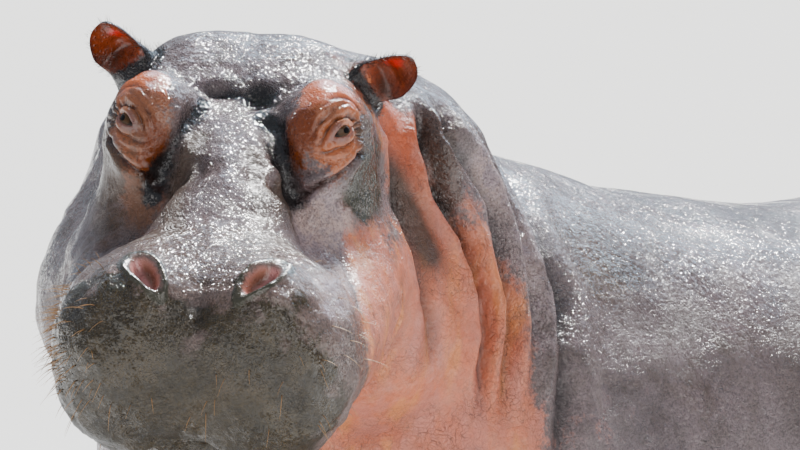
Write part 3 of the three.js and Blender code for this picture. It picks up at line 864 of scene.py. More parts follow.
def muzzle_marks(places):
    """The dark front of the muzzle, reaching further back on its right lobe, and the tan behind."""
    q, head = places["still"], places["head"]
    lobe = .9 * np.clip(q[:, 0] - .10, 0, 1) - .045 * step(-.05, -.12, q[:, 0])
    front = step(.62, .76, head[:, 1] - .45 * (head[:, 2] - .06) - lobe + .07 * noise(q, .03, 67))
    above = step(-.42, -.32, q[:, 2])
    front = np.maximum(front, mark("lobe", places)) * above * (1 - mark("lip_middle", places))
    return {"muzzle": front, "tan": step(.46, .62, head[:, 1]) * above}


def neck_marks(p, places):
    """The salmon of neck, jowl and throat, with its orange, grey and shaded parts."""
    q, free = places["still"], places["body"]
    edge = np.clip(.43 + 3.6 * (np.abs(q[:, 0]) - .170), .36, .64)
    behind = step(.05, -.06, places["head"][:, 1] - edge) * (q[:, 0] > .08)
    bands = np.maximum(bell(free, SALMON_BAND, .085, 4), bell(free, CHEEK_BAND, .065, 4))
    limit = step(-.79, -.86, free[:, 1] + .35 * np.maximum(free[:, 2] - 1.22, 0))
    low_rolls = step(1.38, 1.24, free[:, 2]) * limit * step(.25, .36, free[:, 0])
    throat = .26 * step(-.20, .20, free[:, 0]) * step(-.50, -.80, free[:, 1])
    throat = throat * step(1.12, .95, free[:, 2]) * step(.45, .90, free[:, 2])
    roll = mark("roll", places)
    chest = step(.80, 1.14, free[:, 2] + .05 * noise(p, .12, 69))
    salmon = np.clip(np.maximum(bands, low_rolls) * behind * chest + throat, 0, 1)
    shade = np.minimum(1.3 * bell(.6 * p + .4 * free, DARK_PATCH, .029), 1)
    return {"salmon": salmon * (1 - roll) * (1 - mark("temple", places)), "roll": roll,
            "orange": mark("orange", places) * behind,
            "shade": np.maximum(shade, mark("shade", places))}


def flank_mark(p, places):
    """Brown along the sides of the nose and in broad patches on the flanks of the trunk."""
    trunk = .6 * step(.1, .7, noise(p, .28, 68)) * step(-.74, -.66, p[:, 1])
    trunk = trunk * step(1.34, 1.20, p[:, 2]) * step(.6, .9, p[:, 2])
    nose = [bell(places["head"], path, .026) for path in NOSE_SIDES]
    return np.maximum.reduce([mark("flank", places), trunk, *nose])


def wet_marks(p, places, marks):
    """How wet the hide is: most on top of the head and the back; and where the head stays matte."""
    head = places["head"]
    cheek = mark("cheek", places)
    matte = marks["flank"] * step(-.2, .0, head[:, 1])
    top = step(-.05, .05, head[:, 1]) * step(-.02, .07, head[:, 2]) * (1 - marks["socket"])
    back = .60 * step(1.10, 1.30, p[:, 2]) + .15 * step(.75, 1.1, p[:, 2])
    wet = np.maximum.reduce([top * step(.80, .70, head[:, 1]), back, mark("wet_neck", places, 1.2)])
    wet = wet * (1 - np.maximum(marks["salmon"], marks["orange"])) * (1 - .7 * matte) * (1 - cheek)
    return {"wet": np.clip(wet, 0, 1), "matte": np.maximum(matte, cheek)}


def markings(p, forms):
    """Masks over the hide: shares from 0 to 1, but dull goes to 1.2 and whorl is a distance."""
    places = layouts(p)
    level = places["body"][:, 2]
    marks = {"ochre": mark("ochre", places), "umber_shade": mark("umber_shade", places),
             "dull_shade": mark("dull_shade", places, 1.2), "flank": flank_mark(p, places),
             "pale_and_painted_light": np.clip(sum(patches_of("pale_and_painted_light", places)), 0, 1),
             # folds is painted shade, darker where the relief sinks further.
             "folds": np.clip(-forms["height"] / .014, 0, 1),
             "under": step(.95, .45, level) * step(.10, .40, level), "feet": step(.34, .06, level),
             "whorl": np.linalg.norm(places["still"] - WHORL, axis=1)}
    marks.update(socket_marks(places))
    marks.update(lid_marks(places, forms))
    marks.update(ear_marks(places, forms))
    marks.update(nostril_marks(places, forms))
    marks.update(muzzle_marks(places))
    marks.update(neck_marks(p, places))
    marks.update(wet_marks(p, places, marks))
    rim = marks.pop("mossy_rim")
    # dark is painted shade in the hollow beside the nose and the dips of the brow, with a little of the
    # nostrils' own dark rim.
    hollow = bell(places["sides"] - hollow_shift(places["still"]), on_head(SOCKET_HOLLOW), .017)
    marks["moss"] = np.maximum(mark("moss", places), .9 * rim)
    marks["dark"] = np.maximum.reduce([hollow, mark("brow_dip_shade", places), .25 * rim])
    marks["smooth"] = np.maximum.reduce([marks[part] for part in ("smooth", "socket", "dome", "red")])
    return marks


# ------------------------------------------------------------------ making meshes
def placed(name, data):
    """A new object in the scene."""
    thing = bpy.data.objects.new(name, data)
    bpy.context.scene.collection.objects.link(thing)
    return thing


def make_piece(name, points, polygons, material, masks=None):
    """A smooth mesh from arrays of points and of faces, with a float attribute for each mask."""
    mesh = bpy.data.meshes.new(name)
    polygons = [np.asarray(f) for f in polygons if len(f)]
    corners = np.concatenate([f.ravel() for f in polygons])
    sizes = np.concatenate([np.full(len(f), f.shape[1]) for f in polygons])
    place = np.asarray(points, float) + SHIFT
    mesh.vertices.add(len(place))
    mesh.vertices.foreach_set("co", place.astype(np.float32).ravel())
    mesh.loops.add(len(corners))
    mesh.loops.foreach_set("vertex_index", corners.astype(np.int32))
    mesh.polygons.add(len(sizes))
    mesh.polygons.foreach_set("loop_start", (np.cumsum(sizes) - sizes).astype(np.int32))
    mesh.polygons.foreach_set("loop_total", sizes.astype(np.int32))
    mesh.polygons.foreach_set("use_smooth", np.ones(len(sizes), bool))
    mesh.update(calc_edges=True)
    for title, value in (masks or {}).items():
        spot = mesh.attributes.new(title, "FLOAT", "POINT")
        spot.data.foreach_set("value", np.asarray(value, np.float32))
    piece = placed(name, mesh)
    mesh.materials.append(material)
    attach(piece, "root")
    return piece


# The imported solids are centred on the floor; the eye tells how far they were moved.
eye_low, eye_high = (np.array(corner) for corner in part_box("eye_left"))
SHIFT = (eye_low + eye_high) / 2 - at_head(EYE)


# ------------------------------------------------------------------ material helpers
class Board:
    """A node tree with short ways to place nodes and join them."""

    def __init__(self, tree):
        self.tree = tree
        self.count = 0

    def node(self, kind, inputs=(), **settings):
        new = self.tree.nodes.new(kind)
        new.location = (220 * (self.count % 12), -260 * (self.count // 12))
        self.count += 1
        for key, value in settings.items():
            setattr(new, key, value)
        for key, value in dict(inputs).items():
            self.feed(new.inputs[key], value)
        return new

    def feed(self, socket, value):
        if isinstance(value, bpy.types.NodeSocket):
            self.tree.links.new(value, socket)
        elif isinstance(value, (tuple, list)) and len(value) == 3 and socket.type == "RGBA":
            socket.default_value = (*value, 1)
        else:
            socket.default_value = value

    def math(self, operation, a, b=0.0, c=0.0):
        return self.node("ShaderNodeMath", {0: a, 1: b, 2: c}, operation=operation).outputs[0]

    def times(self, a, b):
        return self.math("MULTIPLY", a, b)

    def vector(self, operation, a, b, output="Vector"):
        return self.node("ShaderNodeVectorMath", {0: a, 1: b}, operation=operation).outputs[output]

    def ramp(self, value, low, high, to_low=0.0, to_high=1.0):
        new = self.node("ShaderNodeMapRange", {0: value, 1: low, 2: high, 3: to_low, 4: to_high},
                        interpolation_type="SMOOTHSTEP")
        return new.outputs[0]

    def mix(self, share, a, b):
        return self.node("ShaderNodeMix", {0: share, 6: a, 7: b}, data_type="RGBA").outputs[2]

    def cover(self, color, amount, strength, paint):
        """A colour covered with paint, by an amount times a strength."""
        return self.mix(self.times(amount, strength), color, paint)

    def bump(self, shader, height):
        new = self.node("ShaderNodeBump", {"Strength": 1.0, "Distance": 1.0, "Height": height})
        self.feed(shader.inputs["Normal"], new.outputs[0])

    def mask(self, title):
        return self.node("ShaderNodeAttribute", attribute_name=title).outputs["Fac"]

    def place(self):
        return self.node("ShaderNodeTexCoord").outputs["Object"]

    def noise(self, vector, scale, detail=3.0, roughness=.55):
        return self.node("ShaderNodeTexNoise", {"Vector": vector, "Scale": scale, "Detail": detail,
                                                "Roughness": roughness}).outputs["Fac"]


def make_group(name, inputs, outputs, build):
    """A shader group with named sockets: inputs as (name, kind, value), outputs as names."""
    tree = bpy.data.node_groups.new(name, "ShaderNodeTree")
    for title, kind, value in inputs:
        socket = tree.interface.new_socket(title, in_out="INPUT", socket_type="NodeSocket" + kind)
        if value is not None:
            socket.default_value = value
    for title in outputs:
        tree.interface.new_socket(title, in_out="OUTPUT", socket_type="NodeSocketFloat")
    board = Board(tree)
    given = board.node("NodeGroupInput").outputs
    board.node("NodeGroupOutput", build(board, given))
    return tree


def crackle_group():
    """Network of fine furrows: one less the distance to the nearest cell edge over a width, on a
    place bent by noise. The cells are stretched by the stretch vector."""
    def build(board, given):
        bend = board.node("ShaderNodeTexNoise", {"Vector": given["Vector"], "Scale": 30.0, "Detail": 2.0})
        push = board.vector("ADD", bend.outputs["Color"], (-.5, -.5, -.5))
        push = board.node("ShaderNodeVectorMath", {0: push, "Scale": given["Bend"]}, operation="SCALE")
        spot = board.vector("ADD", given["Vector"], push.outputs[0])
        spot = board.vector("MULTIPLY", spot, given["Stretch"])
        cells = board.node("ShaderNodeTexVoronoi", {"Vector": spot, "Scale": given["Scale"]},
                           feature="DISTANCE_TO_EDGE")
        crack = board.ramp(cells.outputs["Distance"], 0.0, given["Width"], 1.0, 0.0)
        return {"Crack": crack, "Plate": board.math("SQRT", cells.outputs["Distance"])}
    return make_group("crackle", [("Vector", "Vector", None), ("Scale", "Float", 100.0),
                                  ("Width", "Float", .08), ("Bend", "Float", .02),
                                  ("Stretch", "Vector", (1, 1, 1))], ["Crack", "Plate"], build)


def mottle_group():
    """Uneven colour: broad and fine noise added, sharpened round the middle."""
    def build(board, given):
        broad = board.noise(given["Vector"], given["Scale"], 5.0, .6)
        fine = board.noise(given["Vector"], board.times(given["Scale"], 7.0), 3.0, .6)
        both = board.math("MULTIPLY_ADD", fine, .35, board.times(broad, .65))
        return {"Value": board.ramp(both, .36, .64)}
    return make_group("mottle", [("Vector", "Vector", None), ("Scale", "Float", 8.0)], ["Value"], build)


def beads_group():
    """Water standing on the hide: round beads in some of the cells of a fine net, where the
    amount is high."""
    def build(board, given):
        cells = board.node("ShaderNodeTexVoronoi", {"Vector": given["Vector"], "Scale": given["Scale"]})
        bead = board.ramp(cells.outputs["Distance"], .42, .05)
        pick = board.node("ShaderNodeSeparateColor", {0: cells.outputs["Color"]}).outputs[0]
        drift = board.noise(given["Vector"], 22.0, 3.0)
        chance = board.times(given["Amount"], board.ramp(drift, .35, .65, .25, 1.0))
        shown = board.ramp(board.math("SUBTRACT", chance, pick), -.04, .04)
        return {"Bead": board.times(bead, shown)}
    return make_group("beads", [("Vector", "Vector", None), ("Scale", "Float", 150.0),
                                ("Amount", "Float", .5)], ["Bead"], build)


def facets_group():
    """Small flat plates, each tilted its own way: the place from a cell's middle times the cell's
    own random slope."""
    def build(board, given):
        cells = board.node("ShaderNodeTexVoronoi", {"Vector": given["Vector"], "Scale": given["Scale"]})
        away = board.vector("SUBTRACT", given["Vector"], cells.outputs["Position"])
        slope = board.vector("ADD", cells.outputs["Color"], (-.5, -.5, -.5))
        return {"Height": board.vector("DOT_PRODUCT", away, slope, "Value")}
    return make_group("facets", [("Vector", "Vector", None), ("Scale", "Float", 260.0)], ["Height"], build)


def new_material(name):
    material = bpy.data.materials.new(name)
    material.use_nodes = True
    material.node_tree.nodes.clear()
    board = Board(material.node_tree)
    shader = board.node("ShaderNodeBsdfPrincipled")
    board.node("ShaderNodeOutputMaterial", {"Surface": shader.outputs[0]})
    return material, board, shader


def use(board, group, **inputs):
    """Places a shader group and gives its outputs."""
    new = board.node("ShaderNodeGroup", node_tree=group)
    for title, value in inputs.items():
        board.feed(new.inputs[title], value)
    return new.outputs


CRACKLE, MOTTLE, BEADS, FACETS = crackle_group(), mottle_group(), beads_group(), facets_group()

# Colours of the hide.
GREY = (.134, .098, .096)
GREY_BROWN = (.070, .045, .036)
SHADE = (.034, .022, .014)
LILAC = (.245, .185, .200)
SALMON = (.510, .128, .056)
SALMON_PALE = (.510, .178, .100)
ORANGE = (.400, .070, .018)
SOCKET_BROWN = (.200, .066, .028)
SOCKET_ORANGE = (.380, .105, .036)
# Painted shade: a darker, duller copy of the socket's brown.
DULL_SHADE = (.120, .050, .024)
DOME = (.470, .110, .030)
OCHRE = (.130, .024, .0005)
# Painted shade in hollows, dips, pits, cracks, furrows, folds and behind the lids; also the ears' dark roots
# and the nails' cracks.
NEAR_BLACK = (.012, .009, .009)
OLIVE = (.018, .012, .0035)
OLIVE_PALE = (.038, .024, .007)
MOSS = (.034, .030, .018)
# Painted shade, dark brown, for the shaded right side of the face and in the salmon's cracks.
UMBER_SHADE = (.060, .030, .016)
# Partly the hide's own light pinkish grey, partly painted light.
PALE_PAINTED_LIGHT = (.400, .275, .240)
TAN = (.125, .078, .060)
BELLY = (.250, .125, .105)
FOOT = (.082, .060, .050)
SALMON_DEEP = (.320, .078, .044)
SALMON_WARM = (.560, .190, .055)
SALMON_PINK = (.440, .150, .110)
FLANK_BROWN = (.070, .044, .032)
ROLL_GREY = (.082, .047, .038)
EAR_BROWN = (.240, .036, .006)
EAR_DARK = (.090, .015, .004)
EAR_RED = (.520, .012, .003)
LINING = (.840, .340, .310)
ROOF = (.230, .095, .022)
# Peach of the lids' edges, lightened as a painted highlight.
LID_PEACH_HIGHLIGHT = (.560, .230, .120)
CORNER = (.120, .060, .058)
# Painted shade in the furrows round the eyes.
FURROW_SHADE = (.045, .010, .004)
# Painted shade deep in the ear's hollow.
CAVE_SHADE = (.020, .011, .006)
RIM_PURPLE = (.050, .018, .026)


def salmon_paint(board, place, mottle, spots):
    """Salmon in two tones, redder in blotches, with warm and pink streaks drawn out upward."""
    streak = board.noise(board.vector("MULTIPLY", place, (1, 1, .22)), 24.0, 2.0)
    salmon = board.cover(board.mix(spots, SALMON, SALMON_PALE), mottle, .6, SALMON_DEEP)
    salmon = board.cover(salmon, board.ramp(streak, .50, .66), .7, SALMON_WARM)
    return board.cover(salmon, board.ramp(streak, .48, .34), .6, SALMON_PINK)


def hide_paint(board, place, spots):
    """Grey mottled with brown and lilac, then the paint of each mask in turn: first those whose
    borders the spots break up, then the small ones with soft borders."""
    mottle = use(board, MOTTLE, Vector=place, Scale=6.0)["Value"]
    rough_edge = board.times(board.math("SUBTRACT", spots, .5), .5)

    def two(one, other):
        return board.mix(spots, one, other)

    color = board.cover(board.mix(mottle, GREY, GREY_BROWN), spots, .5, LILAC)
    for title, low, high, strength, paint in (
            ("under", .20, 1.20, .7, BELLY), ("feet", .10, 1.10, .8, FOOT), ("tan", .10, 1.20, .8, TAN),
            # This mark is partly painted light.
            ("pale_and_painted_light", .10, .90, 1.0, two(PALE_PAINTED_LIGHT, LILAC)),
            ("salmon", .22, .75, 1.0, salmon_paint(board, place, mottle, spots)),
            ("orange", .20, .80, 1.0, ORANGE), ("muzzle", .25, .75, 1.0, two(OLIVE, OLIVE_PALE)),
            ("socket", .25, .65, 1.0, two(SOCKET_BROWN, SOCKET_ORANGE)),
            # dull is painted shade on the right socket.
            ("dome", .30, .75, 1.0, two(DOME, SALMON)), ("dull_shade", .15, 1.05, 1.0, DULL_SHADE),
            ("flank", .20, .90, 1.0, FLANK_BROWN), ("ochre", .25, .75, 1.0, OCHRE),
            # umber is painted shade on the right side of the face.
            ("umber_shade", .25, .75, 1.0, UMBER_SHADE), ("moss", .25, .75, 1.0, MOSS),
            # dark is painted shade in the hollow beside the nose and the brow's dips.
            ("roll", .30, .80, 1.0, ROLL_GREY), ("dark", .20, .80, 1.0, NEAR_BLACK),
            ("ear", .30, .65, 1.0, NEAR_BLACK), ("red", .25, .60, 1.0, two(EAR_BROWN, EAR_DARK)),
            ("rosy", .30, 1.05, 1.0, EAR_RED)):
        ragged = board.math("ADD", board.mask(title), rough_edge)
        color = board.cover(color, board.ramp(ragged, low, high), strength, paint)
    for title, strength, paint in (
            # shade is painted shade; lid is peach with a painted highlight on the lids' edges.
            ("shade", .90, SHADE), ("lid", .45, LID_PEACH_HIGHLIGHT), ("corner", .70, CORNER),
            # lines is painted shade in the furrows round the eyes; cave is painted shade deep in the ears.
            ("lines", .85, FURROW_SHADE), ("cave", .85, CAVE_SHADE), ("rim", .80, RIM_PURPLE)):
        color = board.cover(color, board.mask(title), strength, paint)
    return color


def hide_marks(board, color, pits, fine, broad, patches):
    """Painted shade in the pits between the grain's bumps and in the cracks; the nostrils' lining and roof;
    painted shade on the hide hidden behind the lids and in the furrows and folds.
    """
    webbed = board.times(board.mask("salmon"), patches)
    for amount, strength, paint in (
            # pits, inner, the cracks and folds are painted shade.
            (pits, .35, NEAR_BLACK), (board.mask("nostril"), 1.0, LINING), (board.mask("roof"), .75, ROOF),
            (board.mask("inner"), 1.0, NEAR_BLACK), (board.times(broad["Crack"], webbed), .55, UMBER_SHADE),
            (board.mask("folds"), .70, NEAR_BLACK), (board.times(fine["Crack"], patches), .34, NEAR_BLACK),
            (board.times(broad["Crack"], patches), .16, NEAR_BLACK)):
        color = board.cover(color, amount, strength, paint)
    return color


def hide_roughness(board, place, wet, bead):
    """Smooth where a film of water stands, rough where dry; some markings have a least value."""
    film = board.noise(place, 12.0, 4.0)
    rough = board.ramp(board.math("MULTIPLY_ADD", wet, .45, film), .38, .88, .50, .07)
    rough = board.math("MULTIPLY_ADD", bead, -.06, rough)
    for title, least in (("salmon", .36), ("orange", .38), ("matte", .36)):
        rough = board.math("MAXIMUM", rough, board.times(board.mask(title), least))
    return board.math("MULTIPLY_ADD", board.mask("lip"), board.math("SUBTRACT", .17, rough), rough)


def hide_height(board, place, grain, plated, lumpy, nets, bead):
    """Fine relief in metres: grain, tilted plates, lumps, furrows, beads and the whorl's rings."""
    facets = use(board, FACETS, Vector=place, Scale=270.0)["Height"]
    rings = board.math("SINE", board.times(board.mask("whorl"), 1300.0))
    rings = board.times(rings, board.ramp(board.mask("whorl"), .030, .012))
    height = board.times(grain, .0007)
    for part, size in ((board.times(facets, plated), .36), (lumpy, .0024), *nets, (bead, .0011),
                       (rings, .0009)):
        height = board.math("MULTIPLY_ADD", part, size, height)
    return height


def hide_material():
    """Wet bare hide, with colour, roughness and fine relief led by the masks."""
    material, board, shader = new_material("wet_hide")
    place = board.place()
    spots = use(board, MOTTLE, Vector=place, Scale=24.0)["Value"]
    fine = use(board, CRACKLE, Vector=place, Scale=230.0, Width=.08, Bend=.035, Stretch=(1, 1, .7))
    broad = use(board, CRACKLE, Vector=place, Scale=85.0, Width=.05, Bend=.060, Stretch=(1, 1, .5))
    rugged = board.math("MULTIPLY_ADD", board.mask("smooth"), -.80, 1.0)
    patches = board.times(board.ramp(board.noise(place, 9.0, 2.0), .35, .65, .25, 1.0), rugged)
    grain = board.noise(place, 300.0, .5, .4)
    plated = board.times(rugged, board.ramp(board.mask("salmon"), .6, .1, .25))
    # pits: painted shade where the grain is low, between its bumps.
    pits = board.times(board.ramp(grain, .50, .34), plated)
    color = hide_marks(board, hide_paint(board, place, spots), pits, fine, broad, patches)
    board.feed(shader.inputs["Base Color"], color)
    wet = board.mask("wet")
    bead = use(board, BEADS, Vector=place, Scale=190.0, Amount=board.times(wet, .5))["Bead"]
    board.feed(shader.inputs["Roughness"], hide_roughness(board, place, wet, bead))
    lumpy = board.times(board.noise(place, 95.0, 1.0, .4), rugged)
    nets = [(board.times(net[part], patches), size)
            for net, part, size in ((fine, "Plate", .0005), (fine, "Crack", -.0003),
                                    (broad, "Plate", .0004), (broad, "Crack", -.0003))]
    board.bump(shader, hide_height(board, place, grain, plated, lumpy, nets, bead))
    return material


def eye_material():
    """A brown iris with spokes round a wide dark pupil, in a stained white, under clear water."""
    material, board, shader = new_material("eye_wet")
    away, turn = board.mask("away"), board.mask("turn")
    spokes = board.node("ShaderNodeCombineXYZ", {0: board.times(turn, 7.0), 1: board.times(away, 90.0)})
    spoke = board.noise(spokes.outputs[0], 1.6, 3.0)
    iris = board.mix(spoke, (.026, .013, .006), (.075, .040, .020))
    iris = board.mix(board.ramp(away, .0110, .0150), iris, (.014, .009, .007))
    color = board.mix(board.ramp(board.mask("pupil"), 1.0, .85), iris, (.004, .003, .003))
    veins = board.noise(board.place(), 260.0, 4.0)
    white = board.mix(veins, (.040, .020, .016), (.090, .052, .048))
    color = board.mix(board.ramp(away, .0160, .0180), color, white)
    board.feed(shader.inputs["Base Color"], color)
    tears = board.noise(board.place(), 120.0, 2.0)
    board.feed(shader.inputs["Roughness"], board.ramp(tears, .3, .7, .04, .10))
    board.bump(shader, board.times(tears, .0001))
    shader.inputs["Specular IOR Level"].default_value = .14
    return material


def horn_material():
    """Worn horn: brown grey, paler at the edge, with lengthwise grooves and small cracks."""
    material, board, shader = new_material("nail_horn")
    place = board.place()
    across = board.node("ShaderNodeCombineXYZ", {0: board.times(board.mask("grain"), 9.0)}).outputs[0]
    lines = board.noise(across, 3.0, 4.0)
    mottle = use(board, MOTTLE, Vector=place, Scale=40.0)["Value"]
    cracks = use(board, CRACKLE, Vector=place, Scale=160.0, Width=.07, Bend=.01)["Crack"]
    color = board.mix(mottle, (.090, .070, .055), (.200, .160, .120))
    color = board.cover(color, lines, .5, (.040, .030, .024))
    color = board.mix(board.ramp(board.mask("edge"), .70, 1.0), color, (.260, .215, .165))
    board.feed(shader.inputs["Base Color"], board.cover(color, cracks, .5, NEAR_BLACK))
    board.feed(shader.inputs["Roughness"], board.ramp(mottle, 0.0, 1.0, .32, .52))
    board.bump(shader, board.math("MULTIPLY_ADD", lines, .0012, board.times(cracks, -.0006)))
    return material


def bristle_material(name, root, tip):
    """Stiff hair: darker at the root, with uneven colour from hair to hair."""
    material, board, shader = new_material(name)
    along = board.mask("along")
    hair = board.mask("hair")
    color = board.mix(along, root, tip)
    mottle = use(board, MOTTLE, Vector=board.place(), Scale=60.0)["Value"]
    color = board.cover(color, hair, .55, tuple(.35 * c for c in tip))
    color = board.cover(color, mottle, .25, root)
    board.feed(shader.inputs["Base Color"], color)
    board.feed(shader.inputs["Roughness"], board.ramp(hair, 0.0, 1.0, .38, .55))
    return material


# ------------------------------------------------------------------ the pieces
def make_hide(material):
    skin, bare, quads, fans, forms = dressed_hide()
    hide = make_piece("hide", skin, [quads, fans], material, markings(bare, forms))
    nodes = ["head", "muzzle", "lower_jaw", "ear_left", "ear_right", "neck", "shoulders", "barrel", "rump",
             "tail_root", "tail_tip"]
    nodes += [f"{name}_{part}" for name, _, _ in LEGS for part in ("upper", "lower", "foot")]
    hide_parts(*nodes)
    return hide


def grid_faces(rows, columns, closed):
    """Quads of a grid of points numbered row by row, joined round if closed."""
    r, c = np.meshgrid(np.arange(rows - 1), np.arange(columns - (0 if closed else 1)), indexing="ij")
    a, b = r * columns + c, r * columns + (c + 1) % columns
    return np.stack([a, b, b + columns, a + columns], -1).reshape(-1, 4)


def capped(rows, columns):
    """Faces of a closed grid with one pole point before it and one after it."""
    body = grid_faces(rows, columns, True) + 1
    k = np.arange(columns)
    after = (k + 1) % columns
    first = np.stack([np.zeros(columns, int), after + 1, k + 1], -1)
    last_row = 1 + (rows - 1) * columns
    last = np.stack([np.full(columns, 1 + rows * columns), last_row + k, last_row + after], -1)
    return [body, first, last]


def make_eye(name, side, material):
    """An eyeball: a ball whose radius gains a clear bulge of 1.2 mm round the way it looks."""
    rows, columns, bulge = 40, 64, .0012
    angle = np.pi * (np.arange(rows) + 1) / (rows + 1)
    turn = 2 * np.pi * np.arange(columns) / columns
    angle, turn = (g.ravel() for g in np.meshgrid(angle, turn, indexing="ij"))
    angle, turn = np.concatenate([[0], angle, [np.pi]]), np.concatenate([[0], turn, [0]])
    long, out, up = square_to(EYE_OUT, EYE_LONG)
    radius = EYE_RADIUS + bulge * np.exp(-(angle / .42) ** 4)
    flat = radius * np.sin(angle)
    x, y, z = flat * np.cos(turn), flat * np.sin(turn), radius * np.cos(angle)
    place = EYE + x[:, None] * long + y[:, None] * up + z[:, None] * out
    masks = {"away": np.hypot(x, y) + 9 * (z < 0), "turn": np.abs(turn / np.pi - 1),
             "pupil": np.hypot(x / .0062, y / .0046) + 9 * (z < 0)}
    place[:, 0] *= side
    faces = capped(rows, columns)
    if side < 0:
        faces = [f[:, ::-1] for f in faces]
    eye = make_piece(name, at_head(place), faces, material, masks)
    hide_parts(name)


def out_to_skin(start, way):
    """How far the bare hide lies from points inside it along a way, found by halving."""
    low, high = np.zeros(len(start)), np.full(len(start), .12)
    for _ in range(14):
        middle = (low + high) / 2
        inside = body_field(start + middle[:, None] * way) < 0
        low, high = np.where(inside, middle, low), np.where(inside, high, middle)
    return low


def make_nails(name, x, y, material):
    """The four nails of a foot. Each is a shield on a grid: v from 0 at the cuticle to 1 at the
    worn edge and u from -1 to 1 across. It follows the toe, comes out of it at the cuticle, stands
    off it more and more down to the edge, by v^0.6, and is 7 mm thick."""
    rows, columns, thickness = 14, 18, .007
    width, length, inset, clearance = .025, .047, .085, .0015
    v, u = np.meshgrid(np.linspace(0, 1, rows), np.linspace(-1, 1, columns), indexing="ij")
    waist = np.sqrt(np.clip(1 - .82 * (1 - v) ** 4, 0, 1))
    across = u * width * waist * (1 + .10 * v)
    height = .055 - length * v + .010 * (1 - v) * u ** 2
    lift = -.0015 + .0085 * v ** .6 * (1 - .45 * u ** 2) + .0006 * np.sin(9 * v)
    points, faces, masks = [], [], {"grain": [], "edge": []}
    for k in range(len(TOES)):
        way = toe_way(k)
        level = np.array([-way[1], way[0], 0])
        middle = instep(x, y) + (0, -.030, 0) + way * inset
        front = middle + across[..., None] * level + height[..., None] * (0, 0, 1)
        toe = np.maximum(front, (-9, -9, .030)).reshape(-1, 3)
        front = front + (out_to_skin(toe, way).reshape(rows, columns) + lift)[..., None] * way
        back = front - thickness * way
        for sheet in (front, back):
            sheet[..., 2] = np.maximum(sheet[..., 2], clearance)
        shell = np.concatenate([front.reshape(-1, 3), back.reshape(-1, 3)])
        sheet = grid_faces(rows, columns, False)
        count = rows * columns
        number = np.arange(count).reshape(rows, columns)
        border = np.concatenate([number[0, :-1], number[:-1, -1], number[-1, :0:-1], number[:0:-1, 0]])
        after = np.roll(border, -1)
        wall = np.stack([border, after, after + count, border + count], -1)
        start = 2 * count * k
        faces += [sheet + start, sheet[:, ::-1] + count + start, wall[:, ::-1] + start]
        points.append(shell)
        masks["grain"].append(np.tile(u.ravel() * .5 + k * 3.1, 2))
        masks["edge"].append(np.tile(v.ravel(), 2))
    piece = make_piece(name + "_nails", np.concatenate(points), faces, material,
                       {key: np.concatenate(value) for key, value in masks.items()})
    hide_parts(*[f"{name}_nail_{toe}" for toe in TOES])


def unwrapped(p):
    """The hide's own unwrap: how far along the body from nose to tail tip, and the angle round it.
    The line it is measured from runs through head, neck, trunk and tail."""
    spine = np.array([at_head((0, .80, 0)), at_head((0, .10, -.05)), (0, -.62, .95), (0, .9, .88),
                      (0, 1.2, .55)])
    place = off_path(p, spine)[1]
    k = np.minimum((place * (len(spine) - 1)).astype(int), len(spine) - 2)
    t = place * (len(spine) - 1) - k
    centre = spine[k] + t[:, None] * (spine[k + 1] - spine[k])
    way = unit(spine[k + 1] - spine[k])
    lift = unit(np.cross(way, np.array([1.0, .3, 0])))
    level = np.cross(way, lift)
    off = p - centre
    angle = np.arctan2((off * level).sum(1), (off * lift).sum(1))
    return np.stack([.02 + .96 * (angle / (2 * np.pi) + .5), .02 + .96 * place], -1)


def make_bristles(name, roots, ways, lengths, thickness, droop, material):
    """Bristles as tapered three-sided rods: root + way * s + droop * s^2 downward, the radius
    falling evenly to a point. Each has a small patch at its root's place in the unwrap."""
    count, rings, sides = len(roots), 6, 3
    s = np.linspace(-.06, 1, rings)
    spine = (roots[:, None] + ways[:, None] * (lengths[:, None] * s)[..., None]
             + droop[:, None] * (lengths[:, None] * np.maximum(s, 0) ** 2)[..., None])
    level = unit(np.cross(ways, unit(np.array([.31, .22, .92]))))
    lift = np.cross(ways, level)
    angle = 2 * np.pi * np.arange(sides) / sides
    cos, sin = np.cos(angle)[:, None], np.sin(angle)[:, None]
    outward = level[:, None, None] * cos + lift[:, None, None] * sin
    share = np.clip(s, 0, 1)
    radius = thickness * (1 - .85 * share)
    points = spine[:, :, None] + outward * radius[:, None, None]
    per = rings * sides
    one = grid_faces(rings, sides, True)[:, ::-1]
    ends = np.array([[0, 1, 2], [per - 1, per - 2, per - 3]])
    start = (np.arange(count) * per)[:, None, None]
    faces = [(one[None] + start).reshape(-1, 4), (ends[None] + start).reshape(-1, 3)]
    shade = rng.random(count)
    masks = {"along": np.tile(np.repeat(share, sides), count), "hair": np.repeat(shade, per)}
    piece = make_piece(name, points.reshape(-1, 3), faces, material, masks)
    spot = np.repeat(unwrapped(roots), per, axis=0)
    spread = .0015 * np.stack([np.tile(np.tile(np.cos(angle), rings), count),
                               np.tile(np.repeat(2 * share - 1, sides), count)], -1)
    layer = piece.data.uv_layers.new(name="OFBake")
    order = np.zeros(len(piece.data.loops), np.int32)
    piece.data.loops.foreach_get("vertex_index", order)
    layer.data.foreach_set("uv", (spot + spread)[order].astype(np.float32).ravel())


def hide_places(hide):
    """The hide's points in the body's frame, with their outward normals."""
    count = len(hide.data.vertices)
    place, normal = np.zeros(count * 3, np.float32), np.zeros(count * 3, np.float32)
    hide.data.vertices.foreach_get("co", place)
    hide.data.vertex_normals.foreach_get("vector", normal)
    return place.reshape(-1, 3).astype(float) - SHIFT, normal.reshape(-1, 3).astype(float)


